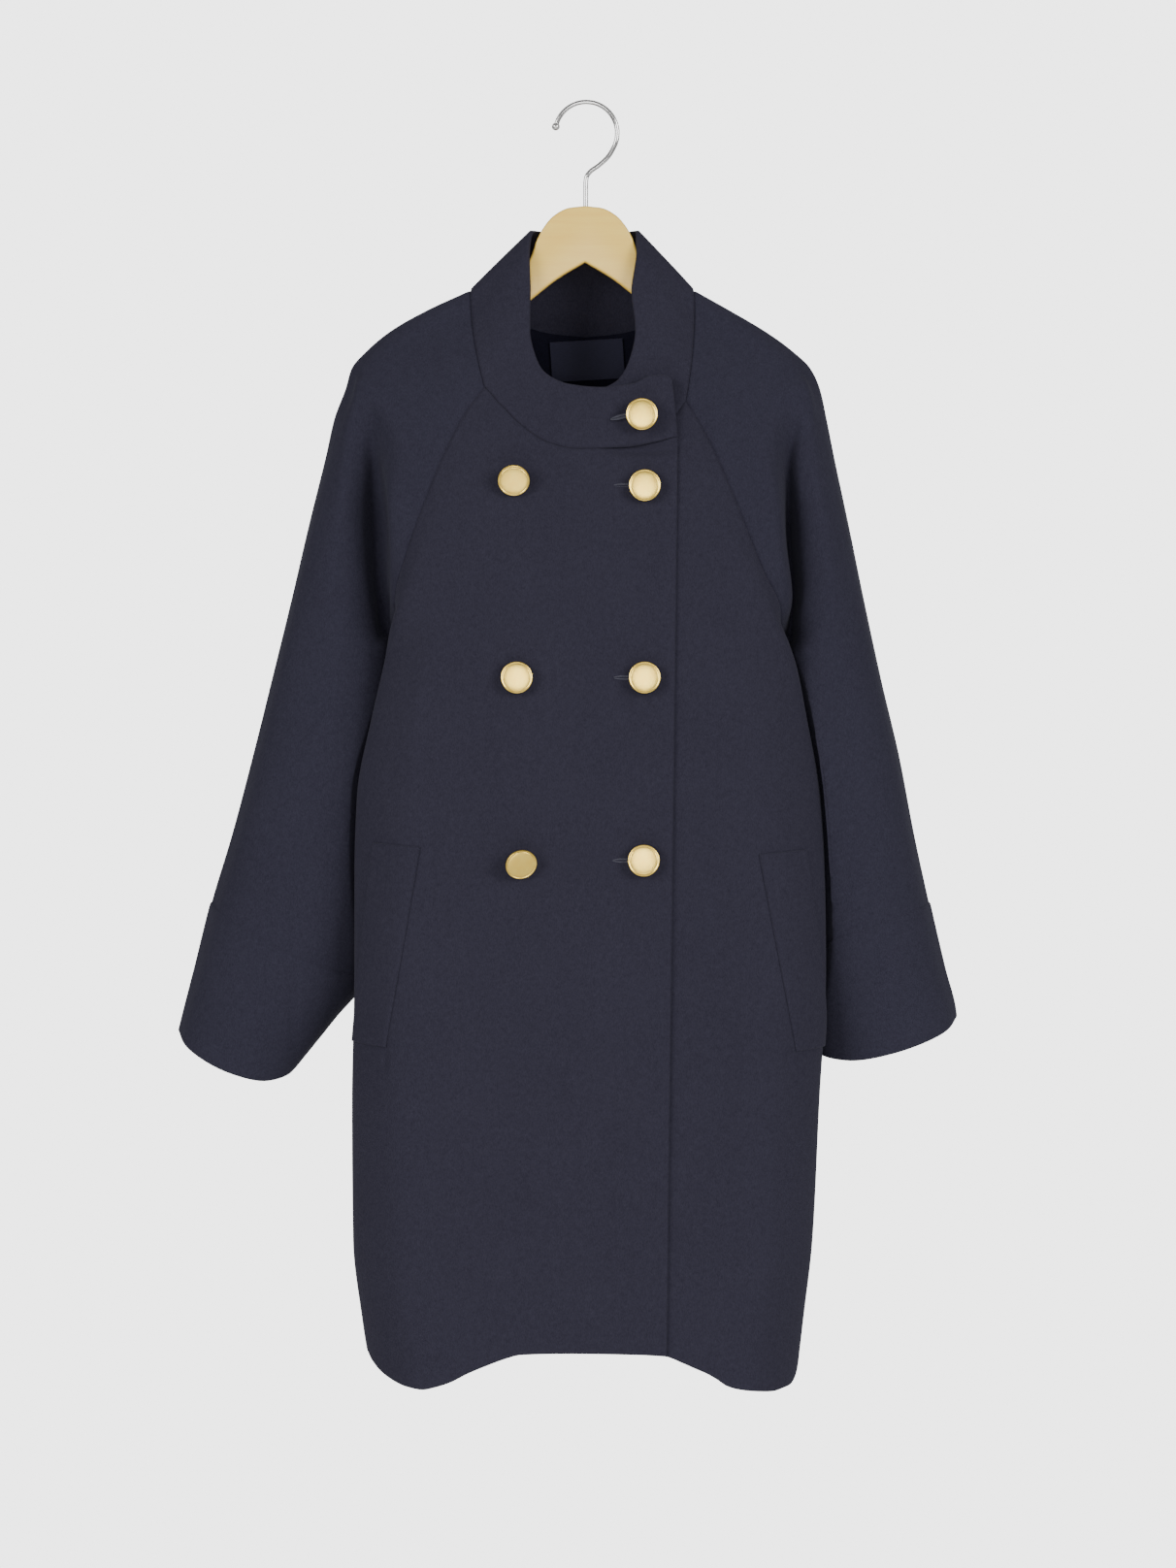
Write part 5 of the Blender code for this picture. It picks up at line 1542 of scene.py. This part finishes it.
@dataclass
class BackNeck:
    """The facing and the bare label inside the back neck."""

    form: CoatForm
    facing_cloth: float = 1.6
    label_cloth: float = 1.2
    gap: float = 0.8
    cloth: float = 2.4
    facing_drop: float = 3.0
    facing_from: float = 0.45
    facing_to: float = 5.55
    facing_level: float = 215.0
    facing_depth: float = 62.0
    facing_curve: float = 14.0
    facing_half_width: float = 80.0
    label_x: float = 0.8
    label_half_width: float = 32.7
    label_drop: float = 205.5
    label_length: float = 35.0
    label_rise: float = 1.8
    label_lean: float = 2.4
    flats: dict[str, tuple[float, float]] = field(default_factory=lambda: {
        "back_neck_facing": (0.19, 0.07), "neck_label": (0.068, 0.037)})

    def build(self, facing: bpy.types.Material, label: bpy.types.Material) -> None:
        """Make the facing and the label.

        Args:
            facing: The facing's cloth.
            label: The label's satin.
        """
        at = np.linspace(self.facing_from, self.facing_to, 61)
        x = self.form.back_point(at, np.full_like(at, self.facing_level))[:, 0]
        top = self.form.back_neck.at("drop", np.abs(x)) + self.facing_drop
        depth = self.facing_depth - self.facing_curve * (np.abs(x) / self.facing_half_width) ** 2
        grid = np.array([self.form.back_point(at, top + depth * share)
                         for share in np.linspace(0.0, 1.0, 25)])
        self._lay("back_neck_facing", grid, self.facing_cloth, -self.cloth - self.gap, facing, "facing")
        across = np.linspace(-1.0, 1.0, 31)
        grid = np.array([self._label_row(across, down) for down in np.linspace(0.0, 1.0, 21)])
        lift = -self.cloth - self.facing_cloth - 2 * self.gap
        self._lay("neck_label", grid, self.label_cloth, lift, label, "label")

    def _label_row(self, across: np.ndarray, down: float) -> np.ndarray:
        """One row of the label, which hangs slightly askew.

        Args:
            across: Places from its right end at -1 to its left one at 1.
            down: How far down it the row is.

        Returns:
            The row's points on the back.
        """
        x = self.label_x + self.label_half_width * across + self.label_lean * down
        drop = self.label_drop - self.label_rise * across + self.label_length * down
        fine = np.linspace(1.0, 5.0, 161)
        lines = [self.form.back_point(fine, np.full_like(fine, level))[:, 0] for level in drop]
        at = np.array([np.interp(px, line, fine) for px, line in zip(x, lines)])
        return self.form.back_point(at, drop)

    def _lay(self, node: str, grid: np.ndarray, cloth: float, lift: float, finish: bpy.types.Material,
             slot: str) -> None:
        """Lay one piece on the inside of the back.

        Args:
            node: The node that it stands for.
            grid: Outer points of the back over it.
            cloth: Its thickness.
            lift: How far its outer face is from the back's, inwards if negative.
            finish: Its material.
            slot: Its material slot.
        """
        shell = ClothShell(node + "_cloth", grid, middle_line(grid), cloth, (Edge.FOLD,) * 4, lift)
        piece = shell.build(finish)
        add_piece(piece, slot, node)
        shell.area()
        log.info("%s: area %.4f m2", node, shell.area())


@dataclass
class Buttons:
    """The domed shank buttons and the worked buttonholes beside them."""

    form: CoatForm
    radius: float = 14.0
    depth: float = 5.4
    dome_share: float = 0.86
    dome_base: float = 1.55
    dome_height: float = 0.75
    rim_line: Path = ((1.80, 1.62), (1.55, 1.56), (1.25, 1.30), (0.90, 1.18), (0.45, 1.35), (0.12, 1.85),
                      (0.0, 2.6), (0.15, 3.4), (0.8, 4.2), (4.0, 4.7))
    sides: int = 64
    shank_radius: float = 2.6
    shank_length: float = 3.6
    shank_gap: float = 0.7
    nod_room: float = 0.62
    collar_y: float = -54.0
    places: tuple[tuple[str, float, float, float, float], ...] = (
        ("button_collar", 49.5, 279.0, 0.0, 0.0), ("button_right_1", 52.0, 341.0, 0.0, 0.0),
        ("button_right_2", 51.8, 508.5, 0.0, 0.0), ("button_right_3", 51.0, 667.5, 0.0, 0.0),
        ("button_left_1", -62.0, 336.0, 20.0, 0.0), ("button_left_2", -59.3, 508.5, 0.0, 0.0),
        ("button_left_3", -56.0, 669.5, 26.0, 14.0))
    hole_length: float = 13.0
    hole_stitches: int = 46
    hole_slit: float = 0.28
    lip_least: float = 0.35
    lip_more: float = 1.75
    lip_uneven: float = 0.10
    thread_radius: float = 0.24
    collar_hole_fall: float = 4.0

    def profile(self) -> list[tuple[float, float]]:
        """Radius and height of the button's outline, from the dome's middle to the shank's end.

        Returns:
            Pairs of radius and height.
        """
        dome = [(self.radius * self.dome_share * math.sin(t),
                 self.depth - self.dome_base + self.dome_height * math.cos(t))
                for t in np.linspace(0.0, math.pi / 2 * 0.94, 18)]
        edge = [(self.radius - inset, self.depth - down) for inset, down in self.rim_line]
        shank = [(self.shank_radius + 0.6, 0.5), (self.shank_radius, 0.0),
                 (self.shank_radius, -self.shank_length + 0.4),
                 (self.shank_radius - 0.5, -self.shank_length), (0.0, -self.shank_length)]
        return dome + edge + shank

    def surface(self, name: str, x: float, drop: float) -> float:
        """Y of the cloth behind a button.

        Args:
            name: The button.
            x: Its X.
            drop: Its drop.

        Returns:
            Y of the cloth there.
        """
        if name == "button_collar":
            return self.collar_y
        return float(self.form.front_surface(np.array(x), np.array(drop), 0.0))

    def build(self, gold: bpy.types.Material, thread: bpy.types.Material) -> None:
        """Make the buttons and the buttonholes.

        Args:
            gold: The buttons' plate.
            thread: The buttonholes' thread.
        """
        for name, x, drop, nod, turn in self.places:
            surface = self.surface(name, x, drop)
            lean = self.radius * math.sin(math.radians(nod)) * self.nod_room
            away = self.shank_length + self.shank_gap + lean
            piece = self._turned(name + "_gold", gold)
            piece.location = (x * MM, (surface - away) * MM, -drop * MM)
            piece.rotation_euler = (math.radians(90.0 + nod), 0.0, math.radians(turn))
            add_piece(piece, "button", name)
            log.info("%s: %d points", name, len(piece.data.vertices))
        for name, x, drop, _, _ in self.places[:4]:
            self._buttonhole(name, x, drop, thread)

    def _turned(self, name: str, finish: bpy.types.Material) -> bpy.types.Object:
        """A button turned about Z from its profile.

        Args:
            name: The object's name.
            finish: Its material.

        Returns:
            The new object.
        """
        profile, sides = self.profile(), self.sides
        points = [(0.0, 0.0, -profile[0][1])]
        rings = profile[1:-1]
        for radius, height in rings:
            for angle in np.linspace(0.0, 2.0 * math.pi, sides, endpoint=False):
                points.append((radius * math.cos(angle), radius * math.sin(angle), -height))
        points.append((0.0, 0.0, -profile[-1][1]))
        faces: list[list[int]] = [[0, 1 + k, 1 + (k + 1) % sides] for k in range(sides)]
        for ring in range(len(rings) - 1):
            a, b = 1 + ring * sides, 1 + (ring + 1) * sides
            faces += [[a + k, b + k, b + (k + 1) % sides, a + (k + 1) % sides] for k in range(sides)]
        last = 1 + (len(rings) - 1) * sides
        faces += [[last + k, len(points) - 1, last + (k + 1) % sides] for k in range(sides)]
        return new_mesh(name, np.array(points), faces, finish, 35.0)

    def _buttonhole(self, name: str, x: float, drop: float, thread: bpy.types.Material) -> None:
        """A worked buttonhole: two lips of close stitches that taper to a point, with a slit between.

        Args:
            name: The button beside it.
            x: X of that button.
            drop: Drop of that button.
            thread: The stitches' finish.
        """
        right = x - self.radius + 3.0
        left = x - self.radius - self.hole_length
        y = self.surface(name, x, drop)
        fall = self.collar_hole_fall if name == "button_collar" else 0.0
        parts = []
        for row in (-1.0, 1.0):
            for k in range(self.hole_stitches):
                share = k / (self.hole_stitches - 1)
                px = left + (right - left) * share
                centre = drop + fall * (1.0 - share)
                width = self.lip_least + self.lip_more * min(1.0, share * 2.6) ** 0.7
                width += self.lip_uneven * math.sin(k * 2.4 + row)
                near, far = centre + row * self.hole_slit, centre + row * width
                path = np.array([(px, y + 0.35, near), (px + 0.04, y - 0.10, near + (far - near) * 0.35),
                                 (px + 0.08, y - 0.06, near + (far - near) * 0.75),
                                 (px + 0.12, y + 0.40, far)])
                parts.append(tube(path, self.thread_radius, 6))
        piece = join_meshes(name.replace("button", "buttonhole"), parts, thread)
        add_piece(piece, "wool_front" if name != "button_collar" else "wool_collar")
        log.info("%s: %d points", piece.name, len(piece.data.vertices))


@dataclass
class Hanger:
    """The flat bent wood and its wire hook."""

    half_depth: float = 5.0
    round_over: float = 2.2
    outline_points: int = 240
    wire: float = 2.1
    wire_sides: int = 20
    wire_points: int = 220
    loop: float = 27.4
    loop_x: float = 1.0
    loop_from: float = 168.0
    loop_to: float = -31.0
    loop_step: float = -11.0
    stem: Path = ((20.5, 48.0), (12.0, 56.0), (4.5, 61.5), (1.2, 66.5), (0.6, 72.0), (0.6, 82.0),
                  (0.6, 93.5))
    ball: float = 3.5
    top: Path = ((0, 92), (14, 93.5), (27, 100), (36, 110), (42.5, 122), (48, 137), (60, 154), (80, 174),
                 (100, 192), (125, 205), (150, 216), (175, 230), (187, 241))
    end: Path = ((193, 248), (195, 255), (190, 261))
    bottom: Path = ((179, 260), (150, 245), (100, 216), (47, 174), (24, 156), (0, 141.5))

    def outline(self) -> np.ndarray:
        """The wood's outline, smooth but for the notch under its middle.

        Returns:
            X and drop of each point.
        """
        right = np.array(self.top + self.end + self.bottom, dtype=float)
        half = smooth_line(right, self.outline_points)
        mirror = half[::-1][1:-1] * np.array([-1.0, 1.0])
        return np.concatenate([half, mirror])

    def build(self, wood: bpy.types.Material, steel: bpy.types.Material) -> None:
        """Make the wood and the hook.

        Args:
            wood: The wood's finish.
            steel: The wire's finish.
        """
        outline = self.outline()
        ahead = np.roll(outline, -1, axis=0) - np.roll(outline, 1, axis=0)
        normal = np.stack([ahead[:, 1], -ahead[:, 0]], axis=1)
        normal /= np.linalg.norm(normal, axis=1, keepdims=True) + 1e-9
        area = np.sum(outline[:, 0] * np.roll(outline[:, 1], -1) - np.roll(outline[:, 0], -1) * outline[:, 1])
        normal *= np.sign(area)
        rings = []
        turns = np.linspace(0.0, math.pi / 2, 6)
        for turn in turns:
            rings.append((self.round_over * (1 - math.sin(turn)),
                          -self.half_depth + self.round_over * (1 - math.cos(turn))))
        rings += [(inset, -depth) for inset, depth in rings[::-1]]
        points, count = [], len(outline)
        for inset, depth in rings:
            flat = outline - normal * inset
            points.append(np.stack([flat[:, 0], np.full(count, depth), flat[:, 1]], axis=1))
        faces: list[list[int]] = [list(range(count))[::-1],
                                  [(len(rings) - 1) * count + k for k in range(count)]]
        for ring in range(len(rings) - 1):
            a, b = ring * count, (ring + 1) * count
            faces += [[a + k, a + (k + 1) % count, b + (k + 1) % count, b + k] for k in range(count)]
        piece = new_mesh("hanger_wood_form", np.concatenate(points), faces, wood, 40.0)
        add_piece(piece, "wood", "hanger_wood")
        log.info("hanger_wood: %d points", len(piece.data.vertices))
        self._hook(steel)

    def _hook(self, steel: bpy.types.Material) -> None:
        """The wire hook with its ball tip.

        Args:
            steel: The wire's finish.
        """
        points = []
        for degrees in np.arange(self.loop_from, self.loop_to, self.loop_step):
            angle = math.radians(degrees)
            points.append((self.loop_x + self.loop * math.cos(angle),
                           self.loop - self.loop * math.sin(angle)))
        route = np.array(points + list(self.stem))
        line = smooth_line(route, self.wire_points)
        path = np.stack([line[:, 0], np.zeros(len(line)), line[:, 1]], axis=1)
        parts = [tube(path, self.wire, self.wire_sides)]
        tip = path[0]
        turns = np.linspace(0.02, math.pi - 0.02, 18)
        way = (path[0] - path[3]) / np.linalg.norm(path[0] - path[3])
        ball = np.array([tip + way * (-self.ball * math.cos(turn)) for turn in turns])
        parts.append(tube(ball, self.ball * np.sin(turns), self.wire_sides))
        piece = join_meshes("hanger_hook_wire", parts, steel)
        add_piece(piece, "hook", "hanger_hook")
        log.info("hanger_hook: %d points", len(piece.data.vertices))


@dataclass(frozen=True)
class SoftLight:
    """A soft square light: where it stands and what it points at in metres, its side, its watts."""

    name: str
    where: Rgb
    aim: Rgb
    size: float
    power: float

    def build(self) -> None:
        """Make the light."""
        data = bpy.data.lights.new(self.name, "AREA")
        data.size = self.size
        data.energy = self.power
        thing = bpy.data.objects.new(self.name, data)
        bpy.context.collection.objects.link(thing)
        thing.location = self.where
        thing.rotation_euler = (Vector(self.aim) - Vector(self.where)).to_track_quat("-Z", "Y").to_euler()
        thing.visible_camera = False


@dataclass
class Studio:
    """The floor, the backdrop, the lights and the camera."""

    distance: float = 5.0
    aim: tuple[float, float] = (0.0026, -0.601)
    frame_height: float = 1.3817
    floor_drop: float = 1750.0
    floor_radius: float = 3100.0
    backdrop_back: float = 9000.0
    backdrop_half: tuple[float, float] = (2100.0, 2500.0)
    backdrop_glow: float = 3.6
    surround: float = 0.34
    lights: tuple[SoftLight, ...] = (
        SoftLight("key", (3.9, -3.9, 0.9), (0.0, 0.0, -0.7), 2.6, 200.0),
        SoftLight("fill", (-3.9, -3.9, 0.9), (0.0, 0.0, -0.7), 2.6, 170.0),
        SoftLight("front", (0.0, -5.6, -0.5), (0.0, 0.0, -0.5), 1.5, 55.0),
        SoftLight("low card", (0.0, -1.5, -1.66), (0.0, 0.0, -0.5), 0.8, 4.4),
        SoftLight("rim", (0.0, 4.2, 1.6), (0.0, 0.0, -0.5), 2.4, 85.0))

    def build(self) -> None:
        """Make the studio round the coat."""
        paper = PaperFinish("pale paper", (0.80, 0.80, 0.80)).build()
        turns = np.linspace(0.0, 2.0 * math.pi, 96, endpoint=False)
        disc = np.stack([self.floor_radius * np.cos(turns), self.floor_radius * np.sin(turns),
                         np.full_like(turns, self.floor_drop)], axis=1)
        new_mesh("studio_floor", disc, [list(range(96))], paper)
        wide, high = self.backdrop_half
        middle = -self.aim[1] / MM
        wall = [(x, self.backdrop_back, middle + y)
                for x, y in ((-wide, -high), (wide, -high), (wide, high), (-wide, high))]
        glow = GlowFinish("lit backdrop", (1.0, 1.0, 1.0), self.backdrop_glow).build()
        new_mesh("studio_backdrop", np.array(wall), [[0, 1, 2, 3]], glow)
        world = bpy.data.worlds.new("studio")
        world.use_nodes = True
        sky = world.node_tree.nodes["Background"]
        sky.inputs["Color"].default_value = (self.surround, self.surround, self.surround, 1.0)
        sky.inputs["Strength"].default_value = 1.0
        bpy.context.scene.world = world
        for light in self.lights:
            light.build()
        self._camera()

    def _camera(self) -> None:
        """The camera at the photograph's place, straight in front of the coat."""
        data = bpy.data.cameras.new("front camera")
        data.sensor_fit = "VERTICAL"
        data.sensor_height = 24.0
        data.lens = 24.0 * self.distance / self.frame_height
        thing = bpy.data.objects.new("front camera", data)
        bpy.context.collection.objects.link(thing)
        thing.location = (self.aim[0], -self.distance, self.aim[1])
        thing.rotation_euler = (math.radians(90.0), 0.0, 0.0)
        bpy.context.scene.camera = thing


def main() -> None:
    """Dress the coat and set up the studio."""
    logging.basicConfig(level=logging.INFO, format="%(message)s")
    form = CoatForm()
    front = WoolFinish("navy wool front", (0.0168, 0.0155, 0.0262), (0.0286, 0.0269, 0.0422)).build()
    # Painted light: the sleeves, back and cuffs use a copy of the front's wool in slightly brighter, bluer
    # colours, set for how the lamps light them.
    sleeve = WoolFinish("navy wool sleeve", (0.0166, 0.0156, 0.0268), (0.0285, 0.0273, 0.0434)).build()
    facing = WoolFinish("dark facing", (0.0042, 0.0040, 0.0092), (0.0085, 0.0082, 0.0185), 0.02, 0.2).build()
    wools = {"front": front, "back": sleeve, "sleeve": sleeve, "cuff": sleeve, "stand": front}
    Panels(form).build(wools)
    Pockets(form).build(front)
    BackNeck(form).build(facing, LabelFinish("label satin", (0.0190, 0.0185, 0.0420)).build())
    Buttons(form).build(SatinGoldFinish("satin gold", (1.0, 0.73, 0.17), (0.98, 0.66, 0.13)).build(),
                        ThreadFinish("slate thread", (0.048, 0.048, 0.072)).build())
    Hanger().build(WoodFinish("light wood", (1.0, 0.68, 0.13), (0.95, 0.60, 0.10)).build(),
                   WireFinish("bright wire", (0.78, 0.77, 0.76)).build())
    Studio().build()


if __name__ == "__main__":
    main()
